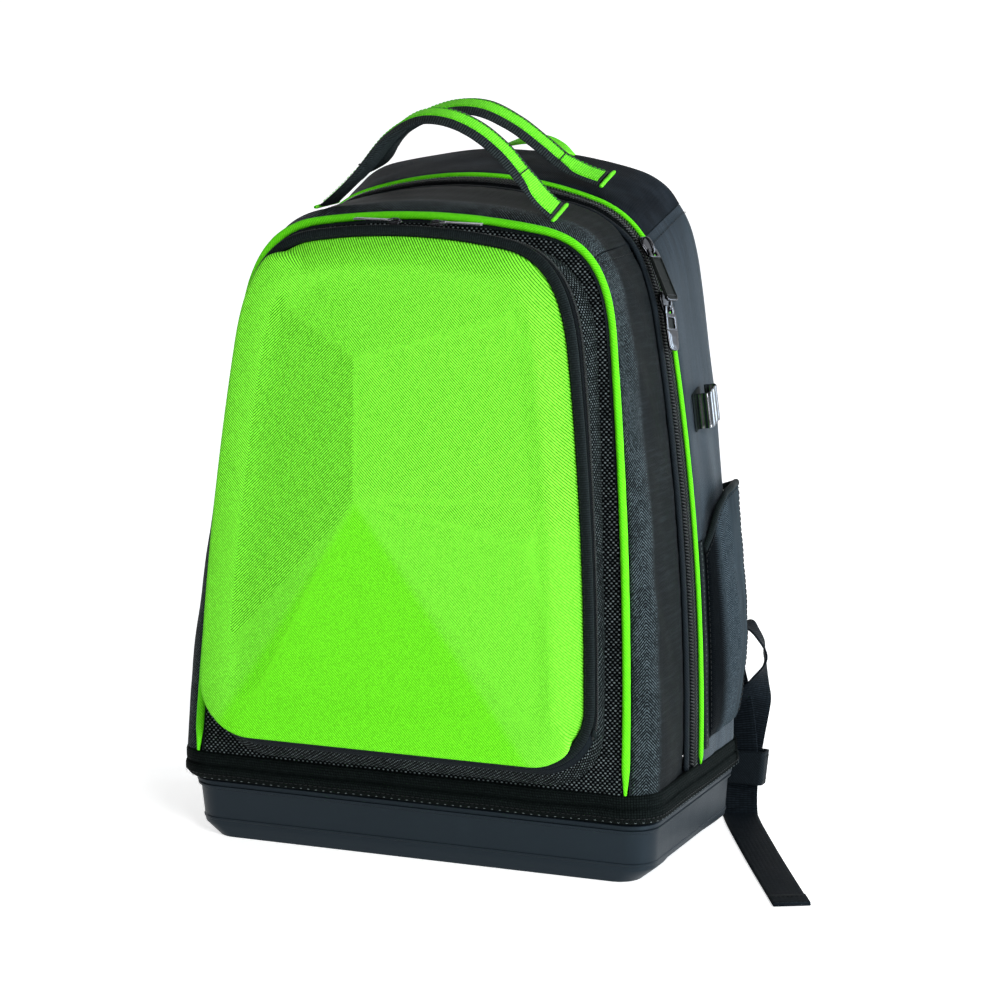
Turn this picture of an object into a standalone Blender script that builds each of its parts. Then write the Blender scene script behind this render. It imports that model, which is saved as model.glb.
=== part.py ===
# Soft sewn backpack on a moulded tray.  Sizes in millimetres, turned into
# metres when a mesh is written.  X right, Y back, Z up; the front faces -Y.
# The origin is the centre of the tray's flat underside.
import math

import bpy
import bmesh
from mathutils import Vector
from mathutils.geometry import delaunay_2d_cdt

for old in list(bpy.data.objects):
    bpy.data.objects.remove(old, do_unlink=True)

MM = 0.001

# ---------------------------------------------------------------- sizes
CLOTH = 2.2            # sewn panel with its foam or backing
GAP = 0.4              # air kept between neighbouring pieces
BODY_Z0 = 64.8         # lower edge of the sewn body, top of the band
V_SIDE = 0.62          # share of a half arch taken by its side
V_CORNER = 0.81        # end of the shoulder corner on the half arch
V_SEAM = 0.715         # where the side strips are sewn to the top strip
CORNER_START = 0.30    # rad, slope of a rounded edge where it starts

# One row for each section of the body, front to back.  y80: where the
# section's plane stands at z 80; lean: its slope; w: half width at a height;
# z_sh: start of the shoulder corner; x_top: its end on the top; z_top and
# crown: the top's height and its fall per x squared; sway: sideways sag.
SECTION_COLS = ("y80", "lean", "w50", "w200", "w350", "z_sh", "x_top", "z_top", "crown", "sway")
SECTIONS = (
    (-100.6, 0.1123, 155.5, 148.4, 132.8, 362.0, 80.0, 432.4, 0.0010, 0.0),   # front seam
    (-80.0, 0.1123, 171.8, 160.6, 136.8, 366.0, 82.0, 438.5, 0.0012, -1.0),   # widest, front
    (-19.0, 0.1260, 169.5, 159.5, 136.5, 362.0, 82.0, 446.0, 0.0017, -5.0),   # front of the zip
    (-5.0, 0.1280, 173.5, 163.5, 140.5, 364.0, 84.0, 450.5, 0.0019, -6.0),    # rear seam
    (64.0, 0.0900, 172.0, 161.0, 142.0, 384.0, 90.0, 463.0, 0.0014, -3.0),    # widest, back
    (86.0, 0.0650, 158.0, 147.0, 129.0, 374.0, 80.0, 453.0, 0.0014, -3.0),    # back edge
)

# tray: one row for each loop of the outer wall, low to high
TRAY_OUTER = (
    # z,   half x, y front, y back, corner
    (0.0, 155.0, -85.0, 84.0, 15.0),
    (9.0, 166.0, -87.5, 84.5, 18.0),
    (36.0, 167.5, -91.5, 87.0, 19.0),
    (37.2, 169.0, -93.0, 88.5, 20.0),
    (42.0, 169.4, -93.5, 89.0, 20.0),
)
TRAY_WALL = 3.0
NOTCH_Y = (-50.0, 46.0)   # raised stretch of each side's lower edge
NOTCH_Z = 8.6
NOTCH_RUN = 5.0
NOTCH_X = 126.0           # inner end of the raised stretch

BAND_TOP = (64.0, 173.4, -104.8, 90.0, 26.0)
BAND_MID = (50.0, 174.0, -104.4, 92.5, 26.0)
BAND_LOW = (42.6, 170.5, -96.0, 91.0, 22.0)
BAND_WALL = 3.4

POCKET_BASE = (139.5, 134.0, 122.5, 352.0, 70.0, 421.5, 0.0012, 67.0, 38.0)
POCKET_RIM = (140.5, 137.0, 121.5, 352.0, 68.0, 430.0, 0.0012, 84.0, 40.0)
# columns: half width at z 100, 200, 350; shoulder z; corner end x; top z;
# crown; bottom z; lower corner radius
RIM_OUT = (27.0, 35.0)    # how far the rim stands out at z 90 and z 420
BIND_W = 6.4
PANEL_WALL = 3.0

# moulded panel: one row for each corner of its facets: x, z, height over rim
FACETS = (
    ("crest_top_left", -78.0, 374.0, 10.5),
    ("crest_top_right", 78.0, 376.0, 11.0),
    ("fold_a", -26.0, 344.0, 15.5),
    ("fold_b", -22.0, 254.0, 18.5),
    ("fold_c", -104.0, 160.0, 11.0),
    ("low_left", -92.0, 120.0, 11.0),
    ("low_right", 96.0, 120.0, 11.5),
    ("mid_right", 98.0, 230.0, 12.5),
    ("mid_left", -98.0, 244.0, 10.5),
)

# ---------------------------------------------------------------- helpers


def colour(name, rgb, rough, metal=0.0):
    mat = bpy.data.materials.new(name)
    mat.use_nodes = True
    node = mat.node_tree.nodes["Principled BSDF"]
    node.inputs["Base Color"].default_value = (rgb[0], rgb[1], rgb[2], 1.0)
    node.inputs["Roughness"].default_value = rough
    node.inputs["Metallic"].default_value = metal
    mat.diffuse_color = (rgb[0], rgb[1], rgb[2], 1.0)
    return mat


BLACK = (0.016, 0.019, 0.022)
GREEN = (0.14, 0.92, 0.012)


def solid(name, verts, faces, rgb, rough=0.8, metal=0.0, smooth=True, origin=None, sharp=40.0):
    mesh = bpy.data.meshes.new(name)
    org = Vector(origin) if origin is not None else Vector((0, 0, 0))
    mesh.from_pydata([((Vector(v) - org) * MM) for v in verts], [], faces)
    bm = bmesh.new()
    bm.from_mesh(mesh)
    bmesh.ops.remove_doubles(bm, verts=bm.verts, dist=0.00002)
    bmesh.ops.recalc_face_normals(bm, faces=bm.faces)
    for f in bm.faces:
        f.smooth = smooth
    lim = math.radians(sharp)
    for e in bm.edges:
        if len(e.link_faces) == 2 and e.calc_face_angle(0.0) > lim:
            e.smooth = False
    bm.to_mesh(mesh)
    bm.free()
    ob = bpy.data.objects.new(name, mesh)
    ob.location = org * MM
    bpy.context.scene.collection.objects.link(ob)
    mesh.materials.append(colour(name + "_mat", rgb, rough, metal))
    return ob


def grid_faces(rows, cols, closed_r=False, closed_c=False, base=0):
    out = []
    for i in range(rows if closed_r else rows - 1):
        for j in range(cols if closed_c else cols - 1):
            a = base + i * cols + j
            b = base + i * cols + (j + 1) % cols
            c = base + ((i + 1) % rows) * cols + (j + 1) % cols
            d = base + ((i + 1) % rows) * cols + j
            out.append((a, b, c, d))
    return out


def sweep_sections(name, sections, closed, rgb, rough=0.8, metal=0.0, smooth=True, origin=None, sharp=40.0):
    """Joins equal point loops into one body; the ends are capped unless closed."""
    n = len(sections[0])
    verts = [p for sec in sections for p in sec]
    faces = grid_faces(len(sections), n, closed_r=closed, closed_c=True)
    if not closed:
        faces.append(tuple(range(n)))
        faces.append(tuple(range((len(sections) - 1) * n, len(sections) * n)))
    return solid(name, verts, faces, rgb, rough, metal, smooth, origin, sharp)


def lerp(a, b, t):
    return a + (b - a) * t


def catmull(rows, t):
    """Smooth value through equal-length number rows; t runs over row numbers."""
    n = len(rows)
    i = max(0, min(int(t), n - 2))
    f = t - i
    p0, p1, p2, p3 = rows[max(i - 1, 0)], rows[i], rows[i + 1], rows[min(i + 2, n - 1)]
    out = []
    for a, b, c, d in zip(p0, p1, p2, p3):
        out.append(0.5 * (2 * b + (c - a) * f + (2 * a - 5 * b + 4 * c - d) * f * f
                          + (3 * b - a - 3 * c + d) * f * f * f))
    return out


# ---------------------------------------------------------------- body form


def half_width(row, z):
    """Half width at height z from the three named widths."""
    t = z - 50.0
    d1, d2 = row[2] - row[3], row[2] - row[4]
    b = (d2 - 2.0 * d1) / 45000.0
    a = (d1 - 22500.0 * b) / 150.0
    return row[2] - a * t - b * t * t


def arch_xz(row, v, z0=BODY_Z0):
    """Point of a half arch: v 0 at the bottom, 1 on the middle of the top."""
    z_sh, x_top, z_top, crown = row[5], row[6], row[7], row[8]
    if v <= V_SIDE:
        z = lerp(z0, z_sh, v / V_SIDE)
        return half_width(row, z), z
    if v >= V_CORNER:
        x = x_top * (1.0 - (v - V_CORNER) / (1.0 - V_CORNER))
        return x, z_top - crown * x * x
    p0 = (half_width(row, z_sh), z_sh)
    p3 = (x_top, z_top - crown * x_top * x_top)
    slope = half_width(row, z_sh) - half_width(row, z_sh - 1.0)
    fall = -2.0 * crown * x_top
    # meeting point of the two end directions
    x = (p3[1] - fall * p3[0] - p0[1] + p0[0] / slope) / (1.0 / slope - fall)
    z = p3[1] + fall * (x - p3[0])
    k = 0.70
    p1 = (lerp(p0[0], x, k), lerp(p0[1], z, k))
    p2 = (lerp(p3[0], x, k), lerp(p3[1], z, k))
    f = (v - V_SIDE) / (V_CORNER - V_SIDE)
    g = 1.0 - f
    return tuple(g ** 3 * p0[i] + 3 * g * g * f * p1[i] + 3 * g * f * f * p2[i] + f ** 3 * p3[i]
                 for i in (0, 1))


def section_row(s):
    last = len(SECTIONS) - 1
    i = max(0, min(int(s), last - 1))
    f = s - i
    a, b = SECTIONS[i], SECTIONS[i + 1]
    fw = fy = f
    span = math.pi / 2 - CORNER_START
    s0, c0 = math.sin(CORNER_START), math.cos(CORNER_START)
    if i == 0:
        th = CORNER_START + span * f
        fw = (math.sin(th) - s0) / (1 - s0)
        fy = (c0 - math.cos(th)) / c0
    elif i == last - 1:
        th = CORNER_START + span * (1 - f)
        fw = 1 - (math.sin(th) - s0) / (1 - s0)
        fy = 1 - (c0 - math.cos(th)) / c0
    return [lerp(p, q, fy if k < 2 else fw) for k, (p, q) in enumerate(zip(a, b))]


def body(u, s):
    """Middle of the sewn wall: u 0..1 left bottom over the top to right
    bottom, s 0..5 front seam to back edge."""
    row = section_row(s)
    v = 2 * u if u <= 0.5 else 2 * (1 - u)
    x, z = arch_xz(row, v)
    if u <= 0.5:
        x = -x
    t = max(0.0, (z - 50.0) / 400.0)
    return Vector((x + row[9] * t * t, row[0] + row[1] * (z - 80.0), z))


def body_frame(u, s):
    """Point, unit direction towards the back, unit normal outwards."""
    e = 1e-3
    p = body(u, s)
    u0, u1 = max(0.0, u - e), min(1.0, u + e)
    s0, s1 = max(0.0, s - e), min(5.0, s + e)
    du = body(u1, s) - body(u0, s)
    ds = (body(u, s1) - body(u, s0)).normalized()
    nrm = du.cross(ds).normalized()
    mid = Vector((0.0, p.y * 0.5, 230.0))
    if nrm.dot(p - mid) < 0:
        nrm = -nrm
    return p, ds, nrm


def along(u, line):
    """The s that lies so many millimetres behind a section, on arch u."""
    s, mm = line
    left = abs(mm)
    sign = 1.0 if mm >= 0 else -1.0
    while left > 1e-6:
        step = min(left, 1.0)
        e = 1e-3
        a, b = max(0.0, s - e), min(5.0, s + e)
        rate = (body(u, b) - body(u, a)).length / (b - a)
        s += sign * step / rate
        left -= step
    return s


def arch_us(n_side, n_corner, n_top, lo=0.0, hi=1.0):
    half = [V_SIDE * i / n_side for i in range(n_side)]
    half += [lerp(V_SIDE, V_CORNER, i / n_corner) for i in range(n_corner)]
    half += [lerp(V_CORNER, 1.0, i / n_top) for i in range(n_top)]
    full = [v / 2 for v in half] + [0.5] + [1 - v / 2 for v in reversed(half)]
    keep = [u for u in full if lo + 0.004 < u < hi - 0.004]
    return [lo] + keep + [hi]


def patch(name, us, line0, line1, n_s, out, inn, rgb, rough=0.85, bulge=None):
    """A sewn strip of the body: a thin solid between two lines across it."""
    outer, inner = [], []
    for u in us:
        s0, s1 = along(u, line0), along(u, line1)
        for j in range(n_s + 1):
            f = j / n_s
            p, _, n = body_frame(u, lerp(s0, s1, f))
            extra = bulge(u, f) if bulge else 0.0
            outer.append(p + n * (out + extra))
            inner.append(p + n * (inn + extra))
    r, c = len(us), n_s + 1
    verts = outer + inner
    faces = grid_faces(r, c) + [tuple(reversed(q)) for q in grid_faces(r, c, base=r * c)]
    k = r * c
    for j in range(c - 1):
        faces.append((j, k + j, k + j + 1, j + 1))
        a = (r - 1) * c + j
        faces.append((a, a + 1, k + a + 1, k + a))
    for i in range(r - 1):
        a, b = i * c, (i + 1) * c
        faces.append((a, b, k + b, k + a))
        a, b = i * c + c - 1, (i + 1) * c + c - 1
        faces.append((a, k + a, k + b, b))
    return solid(name, verts, faces, rgb, rough)


def rail(name, us, line, profile, rgb, rough=0.6, metal=0.0):
    """Sweeps a profile of (towards the back, outwards) along an arch line."""
    secs = []
    for u in us:
        p, d, n = body_frame(u, along(u, line))
        secs.append([p + d * a + n * b for a, b in profile])
    return sweep_sections(name, secs, False, rgb, rough, metal)


def ring_profile(r, n, a0=0.0, b0=0.0):
    return [(a0 + r * math.cos(2 * math.pi * i / n), b0 + r * math.sin(2 * math.pi * i / n))
            for i in range(n)]


LEFT_HI = V_SEAM / 2 - 0.0005
TOP_LO, TOP_HI = V_SEAM / 2 + 0.0005, 1 - V_SEAM / 2 - 0.0005
RIGHT_LO = 1 - V_SEAM / 2 + 0.0005

FRONT_EDGE, FRONT_BACK = (0, 3.4), (3, -22.0)
REAR_EDGE, REAR_BACK = (3, 2.6), (5, -0.2)
for side, lo, hi in (("left", 0.0, LEFT_HI), ("top", TOP_LO, TOP_HI), ("right", RIGHT_LO, 1.0)):
    us = arch_us(6, 4, 5, lo, hi)
    patch("front_gusset_" + side, us, FRONT_EDGE, FRONT_BACK, 5, CLOTH / 2, -CLOTH / 2, BLACK)
    patch("rear_gusset_" + side, us, REAR_EDGE, REAR_BACK, 5, CLOTH / 2, -CLOTH / 2, (0.035, 0.043, 0.052))

ALL_US = arch_us(7, 5, 6)
rail("front_piping", ALL_US, (0, 0.0), ring_profile(2.5, 6, 0.0, 1.3), GREEN, 0.55)
rail("rear_piping", ALL_US, (3, 0.0), ring_profile(1.7, 6, 0.0, 0.9), GREEN, 0.55)
rail("main_zip", ALL_US, (3, -8.6),
     [(-5.9, -0.6), (5.9, -0.6), (5.9, 0.6), (4.3, 0.7), (3.2, 2.4), (0.0, 2.7), (-3.2, 2.4), (-4.3, 0.7), (-5.9, 0.6)],
     (0.012, 0.013, 0.014), 0.4)
rail("zip_flap", ALL_US, (3, -18.0),
     [(-2.9, -0.9), (2.8, -0.9), (3.0, 1.2), (1.4, 2.9), (-1.4, 2.9), (-3.0, 1.2)], BLACK, 0.75)


def flat_panel(name, row, inset, out, inn, rgb, rough=0.85):
    """The flat panel closing one end of the body, inside a section's seam."""
    us = arch_us(7, 5, 6)
    pts = []
    for u in us:
        v = 2 * u if u <= 0.5 else 2 * (1 - u)
        x, z = arch_xz(row, v)
        x = -x if u <= 0.5 else x
        t = max(0.0, (z - 50.0) / 400.0)
        pts.append((x + row[9] * t * t, z))
    ring = []
    n = len(pts)
    for i in range(n):
        a, b = pts[max(0, i - 1)], pts[min(n - 1, i + 1)]
        dx, dz = b[0] - a[0], b[1] - a[1]
        ln = math.hypot(dx, dz)
        ring.append((pts[i][0] + dz / ln * inset, pts[i][1] - dx / ln * inset))
    ring[0] = (ring[0][0], BODY_Z0)
    ring[-1] = (ring[-1][0], BODY_Z0)
    verts = [(x, row[0] + row[1] * (z - 80.0) + out, z) for x, z in ring]
    verts += [(x, row[0] + row[1] * (z - 80.0) + inn, z) for x, z in ring]
    faces = [tuple(range(n)), tuple(range(n, 2 * n))]
    for i in range(n):
        j = (i + 1) % n
        faces.append((i, j, n + j, n + i))
    return solid(name, verts, faces, rgb, rough)


flat_panel("front_panel", SECTIONS[0], 3.5, -1.1, 1.1, BLACK)
flat_panel("back_panel", SECTIONS[5], 0.9, -1.1, 1.1, BLACK)

# ---------------------------------------------------------------- tray and band


def plan_loop(hx, y0, y1, r, n_corner=5, side_stops=(), front_stops=0):
    """Rounded rectangle seen from above, anticlockwise from the right front
    corner's end; side_stops are y values kept as points on both sides."""
    pts = []

    def arc(cx, cy, a0):
        for i in range(n_corner + 1):
            a = math.radians(a0 + 90.0 * i / n_corner)
            pts.append((cx + r * math.cos(a), cy + r * math.sin(a)))

    arc(hx - r, y0 + r, -90)
    for y in side_stops:
        pts.append((hx, y))
    arc(hx - r, y1 - r, 0)
    arc(-hx + r, y1 - r, 90)
    for y in reversed(side_stops):
        pts.append((-hx, y))
    arc(-hx + r, y0 + r, 180)
    return pts


STOPS = (NOTCH_Y[0] - NOTCH_RUN, NOTCH_Y[0], NOTCH_Y[1], NOTCH_Y[1] + NOTCH_RUN)


def tray_loop(hx, y0, y1, r, z, raised):
    out = []
    for x, y in plan_loop(hx, y0, y1, r, 5, STOPS):
        zz = z
        if raised and NOTCH_Y[0] - 0.01 <= y <= NOTCH_Y[1] + 0.01 and abs(x) > hx - 1e-6:
            zz = max(z, NOTCH_Z + raised - 1.0)
        out.append((x, y, zz))
    return out


tray = []
tray.append(tray_loop(NOTCH_X, -66.0, 66.0, 12.0, 0.0, 0))
tray.append(tray_loop(NOTCH_X + 4.0, -69.0, 69.0, 13.0, 0.0, 1.0))
for k, (z, hx, y0, y1, r) in enumerate(TRAY_OUTER):
    tray.append(tray_loop(hx, y0, y1, r, z, 1.0 if k == 0 else (2.0 if k == 1 else 0)))
for z, hx, y0, y1, r in reversed(TRAY_OUTER[1:]):
    zz = z if z > 40 else (z if z > 30 else z + 2.5)
    tray.append(tray_loop(hx - TRAY_WALL, y0 + TRAY_WALL, y1 - TRAY_WALL, r - 2.0, zz, 4.0 if z < 20 else 0))
z, hx, y0, y1, r = TRAY_OUTER[0]
tray.append(tray_loop(hx - 1.5, y0 + 1.5, y1 - 1.5, r, 3.0, 4.0))
tray.append(tray_loop(NOTCH_X + 3.0, -68.0, 68.0, 12.5, 3.0, 4.0))
tray.append(tray_loop(NOTCH_X - 1.5, -64.5, 64.5, 11.0, 3.0, 0))
nt = len(tray[0])
verts = [p for lp in tray for p in lp]
faces = grid_faces(len(tray), nt, closed_c=True)
faces.append(tuple(range(nt)))
faces.append(tuple(range((len(tray) - 1) * nt, len(tray) * nt)))
solid("base_tray", verts, faces, (0.022, 0.026, 0.032), 0.38, sharp=28.0)


def band_loop(row, inset):
    z, hx, y0, y1, r = row
    return [(x, y, z) for x, y in plan_loop(hx - inset, y0 + inset, y1 - inset, r - inset * 0.6, 6, (-30.0, 30.0))]


band = [band_loop(BAND_LOW, 0.0), band_loop((46.0, 172.4, -102.0, 92.3, 26.0), 0.0), band_loop(BAND_MID, 0.0),
        band_loop(BAND_TOP, 0.0), band_loop(BAND_TOP, BAND_WALL), band_loop(BAND_MID, BAND_WALL),
        band_loop((47.5, 172.4, -102.0, 92.3, 26.0), BAND_WALL + 0.6), band_loop(BAND_LOW, BAND_WALL)]
nb = len(band[0])
solid("base_band", [p for lp in band for p in lp], grid_faces(len(band), nb, closed_r=True, closed_c=True),
      (0.013, 0.015, 0.017), 0.8)

# ---------------------------------------------------------------- front pocket


def front_y(z):
    return SECTIONS[0][0] + SECTIONS[0][1] * (z - 80.0)


def pocket_xz(row, n_side=5, n_corner=4, n_top=4, n_low=4):
    """Closed outline: up the left, over the top, down the right, along the
    bottom with round lower corners."""
    w100, w200, w350, z_sh, x_top, z_top, crown, z_low, r = row
    arch_row = (0, 0, w100 + (w100 - w200) * 0.35, w200, w350, z_sh, x_top, z_top, crown)
    z0 = z_low + r
    half = []
    for i in range(n_side + 1):
        half.append(arch_xz(arch_row, V_SIDE * i / n_side, z0))
    for i in range(1, n_corner + 1):
        half.append(arch_xz(arch_row, lerp(V_SIDE, V_CORNER, i / n_corner), z0))
    for i in range(1, n_top + 1):
        half.append(arch_xz(arch_row, lerp(V_CORNER, 1.0, i / n_top), z0))
    x0 = half[0][0]
    low = []
    for i in range(1, n_low + 1):
        a = math.pi / 2 * i / n_low
        low.append((x0 - r + r * math.cos(a), z0 - r * math.sin(a)))
    lows = low + [(lerp(x0 - r, 0.0, i / 3), z_low) for i in range(1, 4)]
    left = [(-x, z) for x, z in reversed(lows)] + [(-x, z) for x, z in half]
    right = [(x, z) for x, z in reversed(half[:-1])] + lows[:-1]
    return left + right


def offset_loop(pts, d):
    """Moves a closed outline outwards by d (inwards when negative)."""
    n = len(pts)
    out = []
    for i in range(n):
        a, b = pts[i - 1], pts[(i + 1) % n]
        dx, dz = b[0] - a[0], b[1] - a[1]
        ln = math.hypot(dx, dz)
        out.append((pts[i][0] - dz / ln * d, pts[i][1] + dx / ln * d))
    return out


def rim_out(z):
    return lerp(RIM_OUT[0], RIM_OUT[1], (z - 90.0) / 330.0)


def in_pocket(pts, fwd):
    """Puts outline points in space, fwd(z) millimetres before the front."""
    return [Vector((x, front_y(z) - fwd(z), z)) for x, z in pts]


BASE = pocket_xz(POCKET_BASE)
RIM = pocket_xz(POCKET_RIM)


def pocket_mix(t):
    return [(lerp(a[0], b[0], t), lerp(a[1], b[1], t)) for a, b in zip(BASE, RIM)]


def loft_wall(name, t0, t1, n, wall, rgb, rough=0.85, us=None, profile=None):
    """Pocket side wall between two shares of its depth."""
    outer, inner = [], []
    for i in range(n + 1):
        t = lerp(t0, t1, i / n)
        lp = pocket_mix(t)
        outer.append(in_pocket(lp, lambda z, t=t: 1.7 + (rim_out(z) - 1.7) * t))
        inner.append(in_pocket(offset_loop(lp, -wall), lambda z, t=t: 1.7 + (rim_out(z) - 1.7) * t))
    loops = outer + list(reversed(inner))
    m = len(loops[0])
    return solid(name, [p for lp in loops for p in lp], grid_faces(len(loops), m, closed_r=True, closed_c=True), rgb, rough)


loft_wall("pocket_gusset", 0.0, 0.60, 2, 2.0, BLACK)

# zip of the pocket: from one lower corner up over the top to the other
ZIP_T = (0.62, 0.90)
first, last = 5, len(RIM) - 5
ring_a, ring_b = pocket_mix(ZIP_T[0]), pocket_mix(ZIP_T[1])
secs = []
for i in range(first, last + 1):
    row = []
    for t, d in ((0.62, 0.0), (0.66, 0.2), (0.70, 1.5), (0.76, 1.9), (0.82, 1.5), (0.86, 0.2), (0.90, 0.0), (0.90, -1.2), (0.62, -1.2)):
        x, z = offset_loop(pocket_mix(t), d)[i]
        row.append(Vector((x, front_y(z) - (1.7 + (rim_out(z) - 1.7) * t), z)))
    secs.append(row)
sweep_sections("pocket_zip", secs, False, (0.014, 0.015, 0.016), 0.4)
# plain strip that carries on below the zip's two ends
secs = []
order = [i % len(RIM) for i in range(last + 1, len(RIM) + first)]
for i in order:
    row = []
    for t, d in ((0.62, 0.0), (0.76, 0.4), (0.90, 0.0), (0.90, -1.6), (0.62, -1.6)):
        x, z = offset_loop(pocket_mix(t), d)[i]
        row.append(Vector((x, front_y(z) - (1.7 + (rim_out(z) - 1.7) * t), z)))
    secs.append(row)
# drawn in a little at both ends so that it clears the zip
for k in (0, -1):
    other = 1 if k == 0 else -2
    secs[k] = [a.lerp(b, 0.06) for a, b in zip(secs[k], secs[other])]
sweep_sections("pocket_lower_strip", secs, False, BLACK, 0.8)

# binding round the moulded panel
m = len(RIM)
loops = []
for d, f in ((0.0, -1.6), (0.4, 1.0), (-1.4, 2.6), (-BIND_W + 1.2, 2.4), (-BIND_W, 0.6), (-BIND_W, -1.6)):
    loops.append(in_pocket(offset_loop(RIM, d), lambda z, f=f: rim_out(z) + f))
solid("pocket_binding", [p for lp in loops for p in lp], grid_faces(len(loops), m, closed_r=True, closed_c=True),
      (0.014, 0.016, 0.018), 0.6)

# moulded panel: rim flange, slanted border, faceted face
PANEL = offset_loop(RIM, -BIND_W - 0.5)


def facet_height():
    """Straight-sided heights over the facet corners."""
    tri = []
    names = {f[0]: (f[1], f[2], f[3]) for f in FACETS}
    for a, b, c in (
        ("crest_top_left", "crest_top_right", "fold_a"),
        ("fold_a", "crest_top_right", "mid_right"),
        ("fold_a", "mid_right", "fold_b"),
        ("fold_b", "mid_right", "low_right"),
        ("fold_b", "low_right", "low_left"),
        ("fold_b", "low_left", "fold_c"),
        ("fold_b", "fold_c", "mid_left"),
        ("fold_a", "fold_b", "mid_left"),
        ("fold_a", "mid_left", "crest_top_left"),
    ):
        tri.append((names[a], names[b], names[c]))
    return tri


LEAN_FWD = 12.5     # height of the border's upper edge over the rim
BORDER = 17.0       # width of the slanted border


def panel_solid():
    loops_out = [offset_loop(PANEL, -0.0), offset_loop(PANEL, -3.0), offset_loop(PANEL, -9.0), offset_loop(PANEL, -BORDER)]
    heights = (0.4, 1.6, 8.0, LEAN_FWD)
    count = len(PANEL)
    pts2 = list(loops_out[-1])
    corner = [(f[1], f[2]) for f in FACETS if f[0].startswith("fold_a") or f[0].startswith("fold_b")]
    corner += [(f[1], f[2]) for f in FACETS if not (f[0].startswith("fold_a") or f[0].startswith("fold_b"))]
    all2 = [Vector(p) for p in pts2] + [Vector(p) for p in corner]
    names = [f[0] for f in FACETS]
    order = [f[0] for f in FACETS if f[0] in ("fold_a", "fold_b")] + [f[0] for f in FACETS if f[0] not in ("fold_a", "fold_b")]
    idx = {nm: count + i for i, nm in enumerate(order)}
    edges = [(i, (i + 1) % count) for i in range(count)]
    for a, b in (("crest_top_left", "fold_a"), ("fold_a", "fold_b"), ("fold_b", "fold_c"), ("fold_b", "low_left"),
                 ("fold_b", "low_right")):
        edges.append((idx[a], idx[b]))
    v2, _, f2, orig, _, _ = delaunay_2d_cdt(all2, edges, [], 1, 1e-4)
    hgt = {f[0]: f[3] + 3.0 for f in FACETS}
    zval = []
    for k, v in enumerate(v2):
        src = orig[k][0] if orig[k] else None
        if src is not None and src >= count:
            zval.append(hgt[order[src - count]])
        else:
            zval.append(LEAN_FWD)

    def put(x, z, h):
        return Vector((x, front_y(z) - rim_out(z) - h, z))

    verts, faces = [], []
    for lp, h in zip(loops_out, heights):
        verts += [put(x, z, h) for x, z in lp]
    for i in range(len(loops_out) - 1):
        for j in range(count):
            a, b = i * count + j, i * count + (j + 1) % count
            faces.append((a, b, b + count, a + count))
    base = len(verts)
    verts += [put(v.x, v.y, h) for v, h in zip(v2, zval)]
    faces += [tuple(base + i for i in f) for f in f2]
    outer_n = len(verts)
    # inner skin
    back = []
    for (lp, h), ins in zip(zip(loops_out, heights), (0.0, 0.4, 1.6, 1.6)):
        back += [put(x, z, h - PANEL_WALL) for x, z in offset_loop(lp, -ins)]
    inner_last = offset_loop(loops_out[-1], -1.6)
    verts += back
    for i in range(len(loops_out) - 1):
        for j in range(count):
            a, b = outer_n + i * count + j, outer_n + i * count + (j + 1) % count
            faces.append((a, a + count, b + count, b))
    base2 = len(verts)
    for k, (v, h) in enumerate(zip(v2, zval)):
        src = orig[k][0] if orig[k] else None
        if src is not None and src < count:
            x, z = inner_last[src]
        else:
            x, z = v.x, v.y
        verts.append(put(x, z, h - PANEL_WALL))
    faces += [tuple(base2 + i for i in reversed(f)) for f in f2]
    for j in range(count):
        a, b = j, (j + 1) % count
        faces.append((a, outer_n + a, outer_n + b, b))
    return solid("pocket_panel", verts, faces, GREEN, 0.5, sharp=12.0)


panel_solid()

# ---------------------------------------------------------------- block pieces


def cells(name, xs, ys, zs, gone, frame, rgb, rough, metal=0.0, origin=None):
    """One body made of a block cut into cells, less the cells named in gone.
    frame(a, b, c) puts a block point in space."""
    nx, ny, nz = len(xs) - 1, len(ys) - 1, len(zs) - 1
    full = {(i, j, k) for i in range(nx) for j in range(ny) for k in range(nz)} - set(gone)
    verts, faces, seen = [], [], {}

    def vid(i, j, k):
        if (i, j, k) not in seen:
            seen[(i, j, k)] = len(verts)
            verts.append(frame(xs[i], ys[j], zs[k]))
        return seen[(i, j, k)]

    sides = (((-1, 0, 0), ((0, 0, 0), (0, 0, 1), (0, 1, 1), (0, 1, 0))),
             ((1, 0, 0), ((1, 0, 0), (1, 1, 0), (1, 1, 1), (1, 0, 1))),
             ((0, -1, 0), ((0, 0, 0), (1, 0, 0), (1, 0, 1), (0, 0, 1))),
             ((0, 1, 0), ((0, 1, 0), (0, 1, 1), (1, 1, 1), (1, 1, 0))),
             ((0, 0, -1), ((0, 0, 0), (0, 1, 0), (1, 1, 0), (1, 0, 0))),
             ((0, 0, 1), ((0, 0, 1), (1, 0, 1), (1, 1, 1), (0, 1, 1))))
    for (i, j, k) in sorted(full):
        for (di, dj, dk), quad in sides:
            if (i + di, j + dj, k + dk) not in full:
                faces.append(tuple(vid(i + a, j + b, k + c) for a, b, c in quad))
    return solid(name, verts, faces, rgb, rough, metal, smooth=False, origin=origin)


def local_frame(p, t, n):
    """Maps (along t, across, out along n) to space."""
    t = (t - n * t.dot(n)).normalized()
    a = n.cross(t).normalized()
    return lambda x, y, z: p + t * x + a * y + n * z


def turned(t, n, deg):
    return t * math.cos(math.radians(deg)) + n.cross(t) * math.sin(math.radians(deg))


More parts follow.
